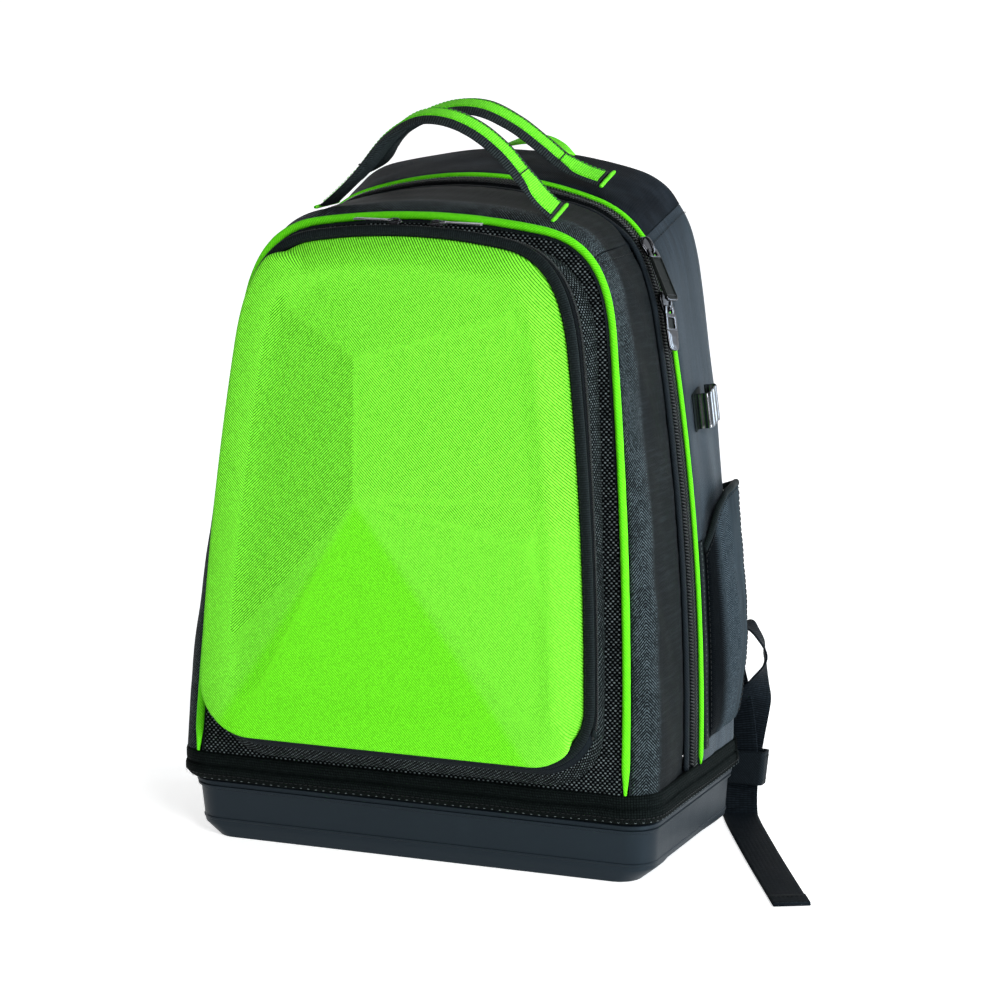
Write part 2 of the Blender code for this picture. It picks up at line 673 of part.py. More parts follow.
# zip sliders: body over the teeth with a bail; the pull's eye hangs on it
def slider(name, p, t, n, k, lift, rgb):
    fr = local_frame(p, t, n)
    xs = [-7.5 * k, -6.0 * k, 6.0 * k, 7.5 * k]
    ys = [-5.0 * k, -1.2 * k, 1.2 * k, 5.0 * k]
    zs = [lift, lift + 2.6 * k, lift + 5.4 * k, lift + 6.5 * k]
    gone = [(i, j, z) for i in range(3) for j in (0, 2) for z in (1, 2)] + [(1, 1, 1)]
    return cells(name, xs, ys, zs, gone, fr, rgb, 0.22, 0.9)


def pull(name, p, t, n, k, lift, length, width, rgb, rough, metal):
    """Flat tab with an eye round the bail; its origin is the hinge axis."""
    fr = local_frame(p, t, n)
    mid = lift + 4.0 * k
    h = 0.8 * k
    xs = [3.0 * k, 4.8 * k, 8.8 * k, 11.0 * k, length - 3.0, length]
    ys = [-width / 2, -2.6 * k, 2.6 * k, width / 2]
    gone = [(1, 1, 0)]

    def put(a, b, c):
        if a >= length - 0.01:
            b = b * 0.72
        if a <= 3.1 * k:
            b = b * 0.8
        return fr(a, b, c)

    return cells(name, xs, ys, [mid - h, mid + h], gone, put, rgb, rough, metal, origin=fr(3.9 * k, 0.0, mid))


def zip_point(u, a=-8.6, b=2.9):
    p, d, n = body_frame(u, along(u, (3, a)))
    q = body_frame(u + 0.004, along(u + 0.004, (3, a)))[0]
    return p + n * b, (q - p).normalized(), n


NICKEL = (0.075, 0.078, 0.085)
for name, u, yaw, rgb, rough, metal, length in (
        ("upper", 0.6500, -9.0, (0.016, 0.017, 0.017), 0.5, 0.2, 42.0),
        ("lower", 0.6835, -8.0, NICKEL, 0.18, 0.95, 34.0)):
    p, t, n = zip_point(u)
    slider("main_slider_" + name, p, t, n, 1.0, 0.4, NICKEL)
    pull("main_pull_" + name, p, turned(t, n, yaw), n, 1.0, 0.4, length, 12.4, rgb, rough, metal)


def pocket_zip_point(x_at, side):
    """Point on the pocket zip over the top edge at the given x."""
    lp = offset_loop(pocket_mix(0.76), 1.9)
    best = None
    for i in range(len(lp) - 1):
        a, b = lp[i], lp[i + 1]
        if a[1] > 380 and a[0] <= x_at <= b[0]:
            f = (x_at - a[0]) / (b[0] - a[0])
            x, z = lerp(a[0], b[0], f), lerp(a[1], b[1], f)
            t = Vector((b[0] - a[0], front_y(b[1]) - front_y(a[1]), b[1] - a[1])).normalized() * side
            best = (x, z, t)
    x, z, t = best
    p = Vector((x, front_y(z) - (1.7 + (rim_out(z) - 1.7) * 0.76), z))
    n = Vector((0.0, -0.10, 1.0))
    n = (n - t * n.dot(t)).normalized()
    return p + n * 0.4, t, n


for name, x_at, side in (("left", -13.0, -1.0), ("right", 17.0, 1.0)):
    p, t, n = pocket_zip_point(x_at, side)
    slider("pocket_slider_" + name, p, t, n, 0.62, 0.2, NICKEL)
    pull("pocket_pull_" + name, p, turned(t, n, 7.0 * side), n, 0.62, 0.2, 31.0, 5.4, (0.30, 0.31, 0.33), 0.2, 0.95)

# ---------------------------------------------------------------- ribbons


def strip_profile(w, t):
    return [(-w / 2, -t / 2), (w / 2, -t / 2), (w / 2, t / 2), (-w / 2, t / 2)]


def pad_profile(w, t):
    return [(-w / 2, -t * 0.22), (-w * 0.42, -t / 2), (w * 0.42, -t / 2), (w / 2, -t * 0.22),
            (w / 2, t * 0.22), (w * 0.42, t / 2), (-w * 0.42, t / 2), (-w / 2, t * 0.22)]


def fold_profile(w, t):
    """Webbing folded round a core: fuller in the middle, thin at the rims."""
    return [(-w / 2, -t * 0.25), (-w * 0.36, -t / 2), (w * 0.36, -t / 2), (w / 2, -t * 0.25),
            (w / 2, t * 0.25), (w * 0.36, t / 2), (-w * 0.36, t / 2), (-w / 2, t * 0.25)]


RIBBON_COLS = ("x", "y", "z", "wx", "wy", "wz", "width", "thick")


def ribbon(name, rows, per, profile, rgb, rough=0.8, lift=0.0, span=None, scale_w=1.0, smooth=True):
    """Sweeps a strap through a table of places, width directions and sizes."""
    n = (len(rows) - 1) * per
    t0, t1 = span or (0.0, len(rows) - 1.0)
    secs = []
    for i in range(n + 1):
        t = lerp(t0, t1, i / n)
        v = catmull(rows, t)
        e = 0.02
        a, b = catmull(rows, max(0.0, t - e)), catmull(rows, min(len(rows) - 1.0, t + e))
        tan = (Vector(b[:3]) - Vector(a[:3])).normalized()
        w = Vector(v[3:6])
        w = (w - tan * w.dot(tan)).normalized()
        nrm = tan.cross(w)
        p = Vector(v[:3]) + nrm * lift
        if p.z < 3.0:
            # lies flat on the ground
            w = Vector((w.x, w.y, 0.0)).normalized()
            nrm = Vector((0.0, 0.0, 1.0)) if nrm.z > 0 else Vector((0.0, 0.0, -1.0))
            p.z = max(p.z, v[7] / 2 + 0.15)
        secs.append([p + w * (a_ * scale_w) + nrm * b_ for a_, b_ in profile(v[6], v[7])])
    return sweep_sections(name, secs, False, rgb, rough, 0.0, smooth)


# grab handles: a row for each bend, left root over the top to the right root
HANDLE_FRONT = (
    # x,      y,     z,     wx,   wy,   wz,  width, thick
    (-84.0, -37.0, 436.6, 0.22, 0.97, 0.10, 26.0, 3.2),
    (-74.5, -39.0, 444.0, 0.24, 0.95, 0.18, 27.0, 3.4),
    (-55.0, -44.5, 460.5, 0.26, 0.92, 0.22, 26.0, 4.6),
    (-33.0, -49.5, 483.5, 0.20, 0.93, 0.26, 25.0, 6.0),
    (-12.0, -52.5, 496.5, 0.08, 0.94, 0.32, 24.5, 6.0),
    (8.0, -53.0, 498.0, 0.00, 0.94, 0.34, 24.5, 6.0),
    (28.0, -51.0, 490.5, 0.00, 0.95, 0.32, 24.5, 6.0),
    (46.0, -47.5, 476.5, 0.00, 0.95, 0.30, 24.5, 5.8),
    (60.0, -44.0, 460.0, 0.00, 0.95, 0.30, 25.0, 5.0),
    (71.0, -41.0, 446.5, -0.03, 0.94, 0.32, 26.5, 3.4),
    (80.5, -38.0, 437.5, -0.05, 0.93, 0.35, 26.5, 3.2),
)
HANDLE_REAR = (
    (-95.0, 57.0, 451.2, 0.06, 0.99, 0.14, 26.0, 3.2),
    (-85.0, 55.0, 457.6, 0.06, 0.98, 0.17, 27.0, 3.4),
    (-72.5, 50.0, 474.0, 0.04, 0.96, 0.24, 25.0, 5.6),
    (-52.0, 45.0, 488.5, 0.00, 0.94, 0.32, 24.5, 6.0),
    (-27.0, 42.0, 497.0, 0.00, 0.93, 0.36, 24.5, 6.0),
    (-4.0, 42.0, 497.0, 0.00, 0.93, 0.36, 24.5, 6.0),
    (18.0, 45.0, 487.0, 0.00, 0.94, 0.33, 24.5, 6.0),
    (36.0, 49.0, 473.5, 0.00, 0.95, 0.30, 24.5, 5.8),
    (50.0, 53.0, 462.0, -0.02, 0.95, 0.28, 25.5, 4.6),
    (64.0, 55.5, 455.0, -0.05, 0.95, 0.26, 26.5, 3.4),
    (78.0, 57.0, 450.6, -0.06, 0.95, 0.28, 26.5, 3.2),
)


def stripe_rows(rows, narrow, wide):
    """Centre stripe: wide over the sewn bases, narrow over the grip."""
    out = []
    last = len(rows) - 1
    for i, r in enumerate(rows):
        w = wide if i in (0, 1, last - 1, last) else narrow
        out.append(r[:6] + (w, 0.7))
    return out


for name, rows in (("front", HANDLE_FRONT), ("rear", HANDLE_REAR)):
    ribbon("handle_" + name, rows, 2, fold_profile, BLACK, 0.8)
    top = []
    for r in stripe_rows(rows, 8.4, 17.0):
        top.append(r)
    lifted = []
    for r, q in zip(rows, top):
        lifted.append(q)
    secs = []
    last = len(rows) - 1
    n = last * 2
    for i in range(n + 1):
        t = lerp(0.32, last - 0.32, i / n)
        v = catmull(rows, t)
        q = catmull(lifted, t)
        a, b = catmull(rows, max(0.0, t - 0.02)), catmull(rows, min(float(last), t + 0.02))
        tan = (Vector(b[:3]) - Vector(a[:3])).normalized()
        w = Vector(v[3:6])
        w = (w - tan * w.dot(tan)).normalized()
        nrm = tan.cross(w)
        if nrm.z < 0 or (abs(nrm.z) < 0.2 and nrm.x * v[0] < 0):
            nrm = -nrm
        p = Vector(v[:3]) + nrm * (v[7] / 2 + 0.75)
        secs.append([p + w * (s1 * q[6] / 2) + nrm * s2 for s1, s2 in ((-1, -0.35), (1, -0.35), (1, 0.35), (-1, 0.35))])
    sweep_sections("handle_%s_stripe" % name, secs, False, GREEN, 0.6)
    for side, r, nxt in (("left", rows[0], rows[1]), ("right", rows[-1], rows[-2])):
        tan = (Vector(r[:3]) - Vector(nxt[:3])).normalized()
        w = Vector(r[3:6])
        w = (w - tan * w.dot(tan)).normalized()
        nrm = tan.cross(w)
        if nrm.z < 0:
            nrm = -nrm
        p = Vector(r[:3]) + tan * 0.9
        fr = lambda a, b, c, p=p, tan=tan, w=w, nrm=nrm: p + tan * a + w * b + nrm * c
        cells("handle_%s_bar_%s" % (name, side), [0.0, 3.4], [-12.6, 12.6], [-0.7, 1.7], (), fr, GREEN, 0.6)

HANG_LOOP = (
    (-9.0, 79.0, 467.2, 0.0, 1.0, -0.1, 12.0, 1.6),
    (0.0, 83.0, 470.2, 0.1, 0.95, 0.2, 12.0, 1.6),
    (11.0, 86.0, 473.0, 0.1, 0.9, 0.4, 12.0, 1.6),
    (23.0, 87.0, 473.0, 0.0, 0.9, 0.4, 12.0, 1.6),
    (34.5, 84.0, 469.6, -0.1, 0.95, 0.3, 12.0, 1.6),
    (44.5, 79.0, 465.0, 0.0, 1.0, -0.1, 12.0, 1.6),
)
ribbon("hang_loop", HANG_LOOP, 2, strip_profile, GREEN, 0.6)

# ---------------------------------------------------------------- side pockets
# one row for each line down the pouch, front to back: f: share of the way
# across; out: how far it stands off the side; z_low and z_top: its ends
POUCH_COLS = ("f", "out", "z_low", "z_top")
POUCH = (
    (0.00, 0.0, 92.0, 204.0),
    (0.07, 4.0, 92.0, 214.0),
    (0.16, 7.0, 92.0, 225.0),
    (0.32, 9.5, 92.0, 236.0),
    (0.52, 10.5, 92.0, 240.0),
    (0.72, 9.0, 92.0, 240.0),
    (0.88, 5.0, 92.0, 238.0),
    (1.00, 0.0, 92.0, 236.0),
)
POUCH_LINES = ((3, 9.5), (4, 12.0))
POUCH_WALL = 3.0


def u_at(z, side, s=3.5):
    """The arch position that reaches height z on the side at section s."""
    v = V_SIDE * (z - BODY_Z0) / (section_row(s)[5] - BODY_Z0)
    return 1 - v / 2 if side > 0 else v / 2


def pouch_point(j, h, extra, side):
    f, out, z0, z1 = POUCH[j]
    z = lerp(z0, z1, h)
    u = u_at(z, side)
    s = lerp(along(u, POUCH_LINES[0]), along(u, POUCH_LINES[1]), f)
    p, _, n = body_frame(u_at(z, side, s), s)
    swell = math.sin(math.pi / 2 * min(1.0, h / 0.42)) ** 0.8 if h > 0 else 0.0
    swell *= 1.0 - 0.12 * max(0.0, (h - 0.75) / 0.25)
    return p + n * (1.7 + extra + out * swell)


for side, tag in ((1, "right"), (-1, "left")):
    rows_n, cols_n = 8, len(POUCH)
    outer = [pouch_point(j, i / (rows_n - 1), POUCH_WALL, side) for i in range(rows_n) for j in range(cols_n)]
    inner = [pouch_point(j, i / (rows_n - 1), 0.0, side) for i in range(rows_n) for j in range(cols_n)]
    k = rows_n * cols_n
    faces = grid_faces(rows_n, cols_n) + [tuple(reversed(q)) for q in grid_faces(rows_n, cols_n, base=k)]
    for j in range(cols_n - 1):
        faces.append((j, k + j, k + j + 1, j + 1))
        a = (rows_n - 1) * cols_n + j
        faces.append((a, a + 1, k + a + 1, k + a))
    for i in range(rows_n - 1):
        a, b = i * cols_n, (i + 1) * cols_n
        faces.append((a, b, k + b, k + a))
        a, b = a + cols_n - 1, b + cols_n - 1
        faces.append((a, k + a, k + b, b))
    solid("side_pocket_" + tag, outer + inner, faces, (0.03, 0.037, 0.045), 0.8)
    # folded edge along the mouth
    secs = []
    for j in range(cols_n):
        lo = pouch_point(j, 1.0, 0.0, side)
        hi = pouch_point(j, 1.0, POUCH_WALL, side)
        below = pouch_point(j, 0.97, 0.0, side)
        up = (lo - below).normalized()
        o = (hi - lo).normalized()
        base = lo + up * 0.5
        secs.append([base + o * -0.2, base + o * 3.2, base + o * 3.2 + up * 2.4, base + o * -0.2 + up * 2.4])
    sweep_sections("side_pocket_edge_" + tag, secs, False, (0.02, 0.024, 0.028), 0.75)

# ---------------------------------------------------------------- tape clip
CLIP_Z = (289.5, 313.0)
u = u_at(298.0, 1)
cp, cd, cn = body_frame(u, along(u, (3, 31.0)))
up = (body(u - 0.01, 3.5) - body(u, 3.5)).normalized()


def clip_frame(a, b, c):
    """a back along the side, b up it, c outwards."""
    return cp + cd * a + up * b + cn * (c + 1.5)


cells("tape_clip", [-9.0, -7.8, 7.0, 8.4], [-12.0, 12.0], [0.0, 1.2, 10.6, 11.8],
      [(1, 0, 1), (2, 0, 1), (2, 0, 0)], clip_frame, (0.10, 0.105, 0.115), 0.2, 0.9)

# ---------------------------------------------------------------- back
def back_y(z):
    return SECTIONS[5][0] + SECTIONS[5][1] * (z - 80.0)


def pad(name, hx_low, hx_top, z0, z1, r, off, thick, rgb, x_mid=0.0):
    """Quilted pad on the back panel: flat behind, full in the middle."""
    def loop(ins, out):
        pts = []
        for cx, cz, a0 in ((hx_low - r, z0 + r, -90), (hx_top - r, z1 - r, 0), (-hx_top + r, z1 - r, 90), (-hx_low + r, z0 + r, 180)):
            for i in range(5):
                a = math.radians(a0 + 22.5 * i)
                rr = r - ins
                pts.append((x_mid + cx + rr * math.cos(a), cz + rr * math.sin(a)))
        return [Vector((x, back_y(z) + out, z)) for x, z in pts]
    loops = [loop(0.0, off), loop(0.0, off + thick * 0.45), loop(3.0, off + thick * 0.85), loop(9.0, off + thick)]
    n = len(loops[0])
    verts = [p for lp in loops for p in lp]
    faces = grid_faces(len(loops), n, closed_c=True)
    faces.append(tuple(range(n)))
    faces.append(tuple(range((len(loops) - 1) * n, len(loops) * n)))
    return solid(name, verts, faces, rgb, 0.9)


MESH_GREY = (0.028, 0.03, 0.033)
pad("back_pad", 108.0, 86.0, 162.0, 404.0, 26.0, 1.6, 13.0, MESH_GREY)
pad("lumbar_pad", 160.0, 132.0, 60.0, 150.0, 24.0, 8.0, 13.0, MESH_GREY)
pad("strap_yoke", 84.0, 72.0, 410.0, 442.0, 9.0, 1.6, 3.4, BLACK)

SHOULDER_STRAP = (
    # x,     y,     z,     wx,   wy,   wz,  width, thick
    (44.0, 121.0, 430.0, 0.97, 0.0, 0.20, 52.0, 9.0),
    (52.0, 131.0, 405.0, 0.96, 0.0, 0.26, 58.0, 12.0),
    (68.0, 139.0, 360.0, 0.94, 0.0, 0.30, 64.0, 13.0),
    (84.0, 141.0, 305.0, 0.96, 0.0, 0.24, 64.0, 13.0),
    (94.0, 138.0, 250.0, 0.98, 0.0, 0.18, 60.0, 13.0),
    (106.0, 133.0, 200.0, 0.96, 0.0, 0.28, 48.0, 12.0),
    (122.0, 128.5, 163.0, 0.90, 0.0, 0.38, 34.0, 9.0),
    (127.5, 127.5, 152.0, 0.90, 0.0, 0.40, 30.0, 7.0),
)


def mirrored(rows):
    return tuple((-r[0],) + r[1:3] + (-r[3],) + r[4:] for r in rows)


LOCK_AT = Vector((135.5, 126.5, 139.0))
LOCK_UP = Vector((-0.42, 0.0, 0.90)).normalized()
LOCK_W = Vector((0.90, 0.0, 0.42)).normalized()
LOCK_N = Vector((0.0, -1.0, 0.0))


def lock_pt(a, b, c, side=1.0):
    p = LOCK_AT + LOCK_W * a + LOCK_UP * b + LOCK_N * c
    return Vector((p.x * side, p.y, p.z))


def lock_row(b, c, width=25.0):
    p = lock_pt(0.0, b, c)
    return (p.x, p.y, p.z, LOCK_W.x, LOCK_W.y, LOCK_W.z, width, 1.5)


# webbing: held end, up behind the lock, over its middle bar, down to the floor
WEB_UP = (
    (164.0, 104.0, 24.5, 1.0, 0.0, 0.0, 25.0, 1.5),
    (165.5, 104.8, 46.0, 1.0, 0.0, 0.0, 25.0, 1.5),
    (160.5, 109.0, 76.0, 0.98, 0.0, 0.15, 25.0, 1.5),
    (151.0, 117.0, 104.0, 0.94, 0.0, 0.34, 25.0, 1.5),
    lock_row(-13.0, -4.4),
    lock_row(-3.0, -4.2),
    lock_row(3.4, -3.3),
    lock_row(5.0, 0.0),
    lock_row(3.4, 3.3),
    lock_row(-3.0, 4.2),
)
WEB_DOWN_RIGHT = (
    lock_row(-13.0, 5.2),
    (155.0, 119.0, 130.5, 0.60, 0.60, 0.30, 25.0, 1.5),
    (166.0, 118.5, 133.5, -0.16, 0.98, 0.05, 25.0, 1.5),
    (175.5, 117.5, 124.0, -0.28, 0.96, 0.0, 25.0, 1.5),
    (179.0, 116.5, 112.0, -0.36, 0.93, 0.0, 25.0, 1.5),
    (175.5, 114.5, 96.5, 0.24, 0.97, 0.0, 25.0, 1.5),
    (171.5, 112.0, 78.0, 0.93, 0.36, 0.0, 25.0, 1.5),
    (167.0, 109.5, 46.0, 1.0, 0.02, -0.02, 25.0, 1.5),
    (164.5, 109.0, 22.0, 1.0, 0.05, -0.03, 25.0, 1.5),
    (164.3, 107.5, 8.0, 0.98, 0.20, 0.0, 25.0, 1.5),
    (166.3, 102.5, 1.8, 0.95, 0.30, 0.0, 25.0, 1.5),
    (169.5, 95.0, 0.9, 0.92, 0.38, 0.0, 25.0, 1.5),
    (180.0, 73.0, 0.9, 0.90, 0.43, 0.0, 25.0, 1.5),
    (204.0, 26.0, 0.9, 0.90, 0.43, 0.0, 25.0, 1.5),
    (228.0, -20.0, 0.9, 0.89, 0.45, 0.0, 25.0, 1.5),
    (266.5, -92.5, 0.9, 0.86, 0.50, 0.0, 25.0, 1.5),
)
WEB_DOWN_LEFT = (
    lock_row(-13.0, 5.2),
    (154.0, 122.0, 116.0, 0.94, 0.1, 0.30, 25.0, 1.5),
    (163.0, 115.5, 80.0, 0.99, 0.0, 0.12, 25.0, 1.5),
    (166.0, 109.5, 46.0, 1.0, 0.0, 0.0, 25.0, 1.5),
    (165.0, 109.0, 22.0, 1.0, 0.0, 0.0, 25.0, 1.5),
    (162.0, 110.0, 8.0, 0.98, 0.20, 0.0, 25.0, 1.5),
    (157.0, 115.0, 1.6, 0.86, 0.50, 0.0, 25.0, 1.5),
    (149.0, 123.5, 0.9, 0.78, 0.62, 0.0, 25.0, 1.5),
    (124.0, 152.0, 0.9, 0.77, 0.64, 0.0, 25.0, 1.5),
    (90.0, 193.0, 0.9, 0.77, 0.64, 0.0, 25.0, 1.5),
    (13.0, 285.0, 0.9, 0.77, 0.64, 0.0, 25.0, 1.5),
)

for side, tag in ((1, "right"), (-1, "left")):
    rows = SHOULDER_STRAP if side > 0 else mirrored(SHOULDER_STRAP)
    ribbon("shoulder_strap_" + tag, rows, 2, pad_profile, MESH_GREY, 0.9)
    web = WEB_UP + (WEB_DOWN_RIGHT if side > 0 else WEB_DOWN_LEFT)
    if side < 0:
        web = mirrored(web)
    ribbon("webbing_" + tag, web, 3, strip_profile, (0.02, 0.023, 0.027), 0.75)
    fr = lambda a, b, c, side=side: lock_pt(a, b, c, side)
    xs = [-16.5, -13.4, 13.4, 16.5]
    zs = [-11.5, -8.0, -2.0, 1.8, 8.6, 11.8]
    cells("ladder_lock_" + tag, xs, zs, [-1.8, 1.8], [(1, 1, 0), (1, 3, 0)], fr, (0.02, 0.021, 0.023), 0.4)
    # stitched sleeve that holds both webbing layers at the tray
    cx = side * 165.3
    fr = lambda a, b, c, cx=cx, side=side: Vector((cx + a + side * (c - 34.0) * 0.10, b, c))
    w_in = 16.5
    cells("strap_keeper_" + tag, [-w_in - 1.6, -w_in, w_in, w_in + 1.6], [100.8, 102.4, 111.6, 113.2], [24.0, 46.0],
          [(1, 1, 0)], fr, BLACK, 0.8)
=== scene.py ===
# Looks of the sewn backpack: soft panels, webbing, zips, hardware, light and camera.
import math
from functools import lru_cache

import bmesh
import bpy
import numpy as np
from mathutils import Matrix, Vector, noise
from mathutils.bvhtree import BVHTree


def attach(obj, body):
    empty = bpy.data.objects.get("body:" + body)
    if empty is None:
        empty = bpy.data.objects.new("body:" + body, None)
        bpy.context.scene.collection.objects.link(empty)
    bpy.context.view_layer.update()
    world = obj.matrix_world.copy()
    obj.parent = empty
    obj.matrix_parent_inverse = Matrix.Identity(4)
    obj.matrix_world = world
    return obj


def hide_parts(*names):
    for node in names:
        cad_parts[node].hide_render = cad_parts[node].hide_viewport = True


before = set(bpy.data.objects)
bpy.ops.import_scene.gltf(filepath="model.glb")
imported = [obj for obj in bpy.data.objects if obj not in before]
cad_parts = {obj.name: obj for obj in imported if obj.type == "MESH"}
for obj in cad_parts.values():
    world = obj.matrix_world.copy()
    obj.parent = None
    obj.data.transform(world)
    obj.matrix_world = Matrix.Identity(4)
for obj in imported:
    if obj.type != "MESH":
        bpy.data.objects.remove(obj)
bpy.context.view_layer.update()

MM = 0.001

CLOTH = 2.2            # sewn panel with its foam or backing
GAP = 0.4              # air kept between neighbouring pieces
BODY_Z0 = 64.8         # lower edge of the sewn body, top of the band
V_SIDE = 0.62          # share of a half arch taken by its side
V_CORNER = 0.81        # end of the shoulder corner on the half arch
V_SEAM = 0.715         # where the side strips are sewn to the top strip
CORNER_START = 0.30    # rad, slope of a rounded edge where it starts

# One row for each section of the body, front to back.  y80: where the
# section's plane stands at z 80; lean: its slope; w: half width at a height;
# z_sh: start of the shoulder corner; x_top: its end on the top; z_top and
# crown: the top's height and its fall per x squared; sway: sideways sag.
SECTION_COLS = ("y80", "lean", "w50", "w200", "w350", "z_sh", "x_top", "z_top", "crown", "sway")
SECTIONS = (
    (-100.6, 0.1123, 155.5, 148.4, 132.8, 362.0, 80.0, 432.4, 0.0010, 0.0),   # front seam
    (-80.0, 0.1123, 171.8, 160.6, 136.8, 366.0, 82.0, 438.5, 0.0012, -1.0),   # widest, front
    (-19.0, 0.1260, 169.5, 159.5, 136.5, 362.0, 82.0, 446.0, 0.0017, -5.0),   # front of the zip
    (-5.0, 0.1280, 173.5, 163.5, 140.5, 364.0, 84.0, 450.5, 0.0019, -6.0),    # rear seam
    (64.0, 0.0900, 172.0, 161.0, 142.0, 384.0, 90.0, 463.0, 0.0014, -3.0),    # widest, back
    (86.0, 0.0650, 158.0, 147.0, 129.0, 374.0, 80.0, 453.0, 0.0014, -3.0),    # back edge
)

# tray: one row for each loop of the outer wall, low to high
TRAY_OUTER = (
    # z,   half x, y front, y back, corner
    (0.0, 155.0, -85.0, 84.0, 15.0),
    (9.0, 166.0, -87.5, 84.5, 18.0),
    (36.0, 167.5, -91.5, 87.0, 19.0),
    (37.2, 169.0, -93.0, 88.5, 20.0),
    (42.0, 169.4, -93.5, 89.0, 20.0),
)
TRAY_WALL = 3.0
NOTCH_Y = (-50.0, 46.0)   # raised stretch of each side's lower edge
NOTCH_Z = 8.6
NOTCH_RUN = 5.0
NOTCH_X = 126.0           # inner end of the raised stretch

BAND_TOP = (64.0, 173.4, -104.8, 90.0, 26.0)
BAND_MID = (50.0, 174.0, -104.4, 92.5, 26.0)
BAND_LOW = (42.6, 170.5, -96.0, 91.0, 22.0)
BAND_WALL = 3.4

POCKET_BASE = (139.5, 134.0, 122.5, 352.0, 70.0, 421.5, 0.0012, 67.0, 38.0)
POCKET_RIM = (140.5, 137.0, 121.5, 352.0, 68.0, 430.0, 0.0012, 84.0, 40.0)
# columns: half width at z 100, 200, 350; shoulder z; corner end x; top z;
# crown; bottom z; lower corner radius
RIM_OUT = (27.0, 35.0)    # how far the rim stands out at z 90 and z 420
BIND_W = 6.4
PANEL_WALL = 3.0

# moulded panel: one row for each corner of its facets: x, z, height over rim
FACETS = (
    ("crest_top_left", -78.0, 374.0, 10.5),
    ("crest_top_right", 78.0, 376.0, 11.0),
    ("fold_a", -26.0, 344.0, 15.5),
    ("fold_b", -22.0, 254.0, 18.5),
    ("fold_c", -104.0, 160.0, 11.0),
    ("low_left", -92.0, 120.0, 11.0),
    ("low_right", 96.0, 120.0, 11.5),
    ("mid_right", 98.0, 230.0, 12.5),
    ("mid_left", -98.0, 244.0, 10.5),
)

def lerp(a, b, t):
    return a + (b - a) * t


def catmull(rows, t):
    """Smooth value through equal-length number rows; t runs over row numbers."""
    n = len(rows)
    i = max(0, min(int(t), n - 2))
    f = t - i
    p0, p1, p2, p3 = rows[max(i - 1, 0)], rows[i], rows[i + 1], rows[min(i + 2, n - 1)]
    out = []
    for a, b, c, d in zip(p0, p1, p2, p3):
        out.append(0.5 * (2 * b + (c - a) * f + (2 * a - 5 * b + 4 * c - d) * f * f
                          + (3 * b - a - 3 * c + d) * f * f * f))
    return out


def half_width(row, z):
    """Half width at height z from the three named widths."""
    t = z - 50.0
    d1, d2 = row[2] - row[3], row[2] - row[4]
    b = (d2 - 2.0 * d1) / 45000.0
    a = (d1 - 22500.0 * b) / 150.0
    return row[2] - a * t - b * t * t


def arch_xz(row, v, z0=BODY_Z0):
    """Point of a half arch: v 0 at the bottom, 1 on the middle of the top."""
    z_sh, x_top, z_top, crown = row[5], row[6], row[7], row[8]
    if v <= V_SIDE:
        z = lerp(z0, z_sh, v / V_SIDE)
        return half_width(row, z), z
    if v >= V_CORNER:
        x = x_top * (1.0 - (v - V_CORNER) / (1.0 - V_CORNER))
        return x, z_top - crown * x * x
    p0 = (half_width(row, z_sh), z_sh)
    p3 = (x_top, z_top - crown * x_top * x_top)
    slope = half_width(row, z_sh) - half_width(row, z_sh - 1.0)
    fall = -2.0 * crown * x_top
    # meeting point of the two end directions
    x = (p3[1] - fall * p3[0] - p0[1] + p0[0] / slope) / (1.0 / slope - fall)
    z = p3[1] + fall * (x - p3[0])
    k = 0.70
    p1 = (lerp(p0[0], x, k), lerp(p0[1], z, k))
    p2 = (lerp(p3[0], x, k), lerp(p3[1], z, k))
    f = (v - V_SIDE) / (V_CORNER - V_SIDE)
    g = 1.0 - f
    return tuple(g ** 3 * p0[i] + 3 * g * g * f * p1[i] + 3 * g * f * f * p2[i] + f ** 3 * p3[i]
                 for i in (0, 1))


def section_row(s):
    last = len(SECTIONS) - 1
    i = max(0, min(int(s), last - 1))
    f = s - i
    a, b = SECTIONS[i], SECTIONS[i + 1]
    fw = fy = f
    span = math.pi / 2 - CORNER_START
    s0, c0 = math.sin(CORNER_START), math.cos(CORNER_START)
    if i == 0:
        th = CORNER_START + span * f
        fw = (math.sin(th) - s0) / (1 - s0)
        fy = (c0 - math.cos(th)) / c0
    elif i == last - 1:
        th = CORNER_START + span * (1 - f)
        fw = 1 - (math.sin(th) - s0) / (1 - s0)
        fy = 1 - (c0 - math.cos(th)) / c0
    return [lerp(p, q, fy if k < 2 else fw) for k, (p, q) in enumerate(zip(a, b))]


def body(u, s):
    """Middle of the sewn wall: u 0..1 left bottom over the top to right
    bottom, s 0..5 front seam to back edge."""
    row = section_row(s)
    v = 2 * u if u <= 0.5 else 2 * (1 - u)
    x, z = arch_xz(row, v)
    if u <= 0.5:
        x = -x
    t = max(0.0, (z - 50.0) / 400.0)
    return Vector((x + row[9] * t * t, row[0] + row[1] * (z - 80.0), z))


@lru_cache(maxsize=None)
def body_frame(u, s):
    """Point, unit direction towards the back, unit normal outwards."""
    e = 1e-3
    p = body(u, s)
    u0, u1 = max(0.0, u - e), min(1.0, u + e)
    s0, s1 = max(0.0, s - e), min(5.0, s + e)
    du = body(u1, s) - body(u0, s)
    ds = (body(u, s1) - body(u, s0)).normalized()
    nrm = du.cross(ds).normalized()
    mid = Vector((0.0, p.y * 0.5, 230.0))
    if nrm.dot(p - mid) < 0:
        nrm = -nrm
    return p, ds, nrm


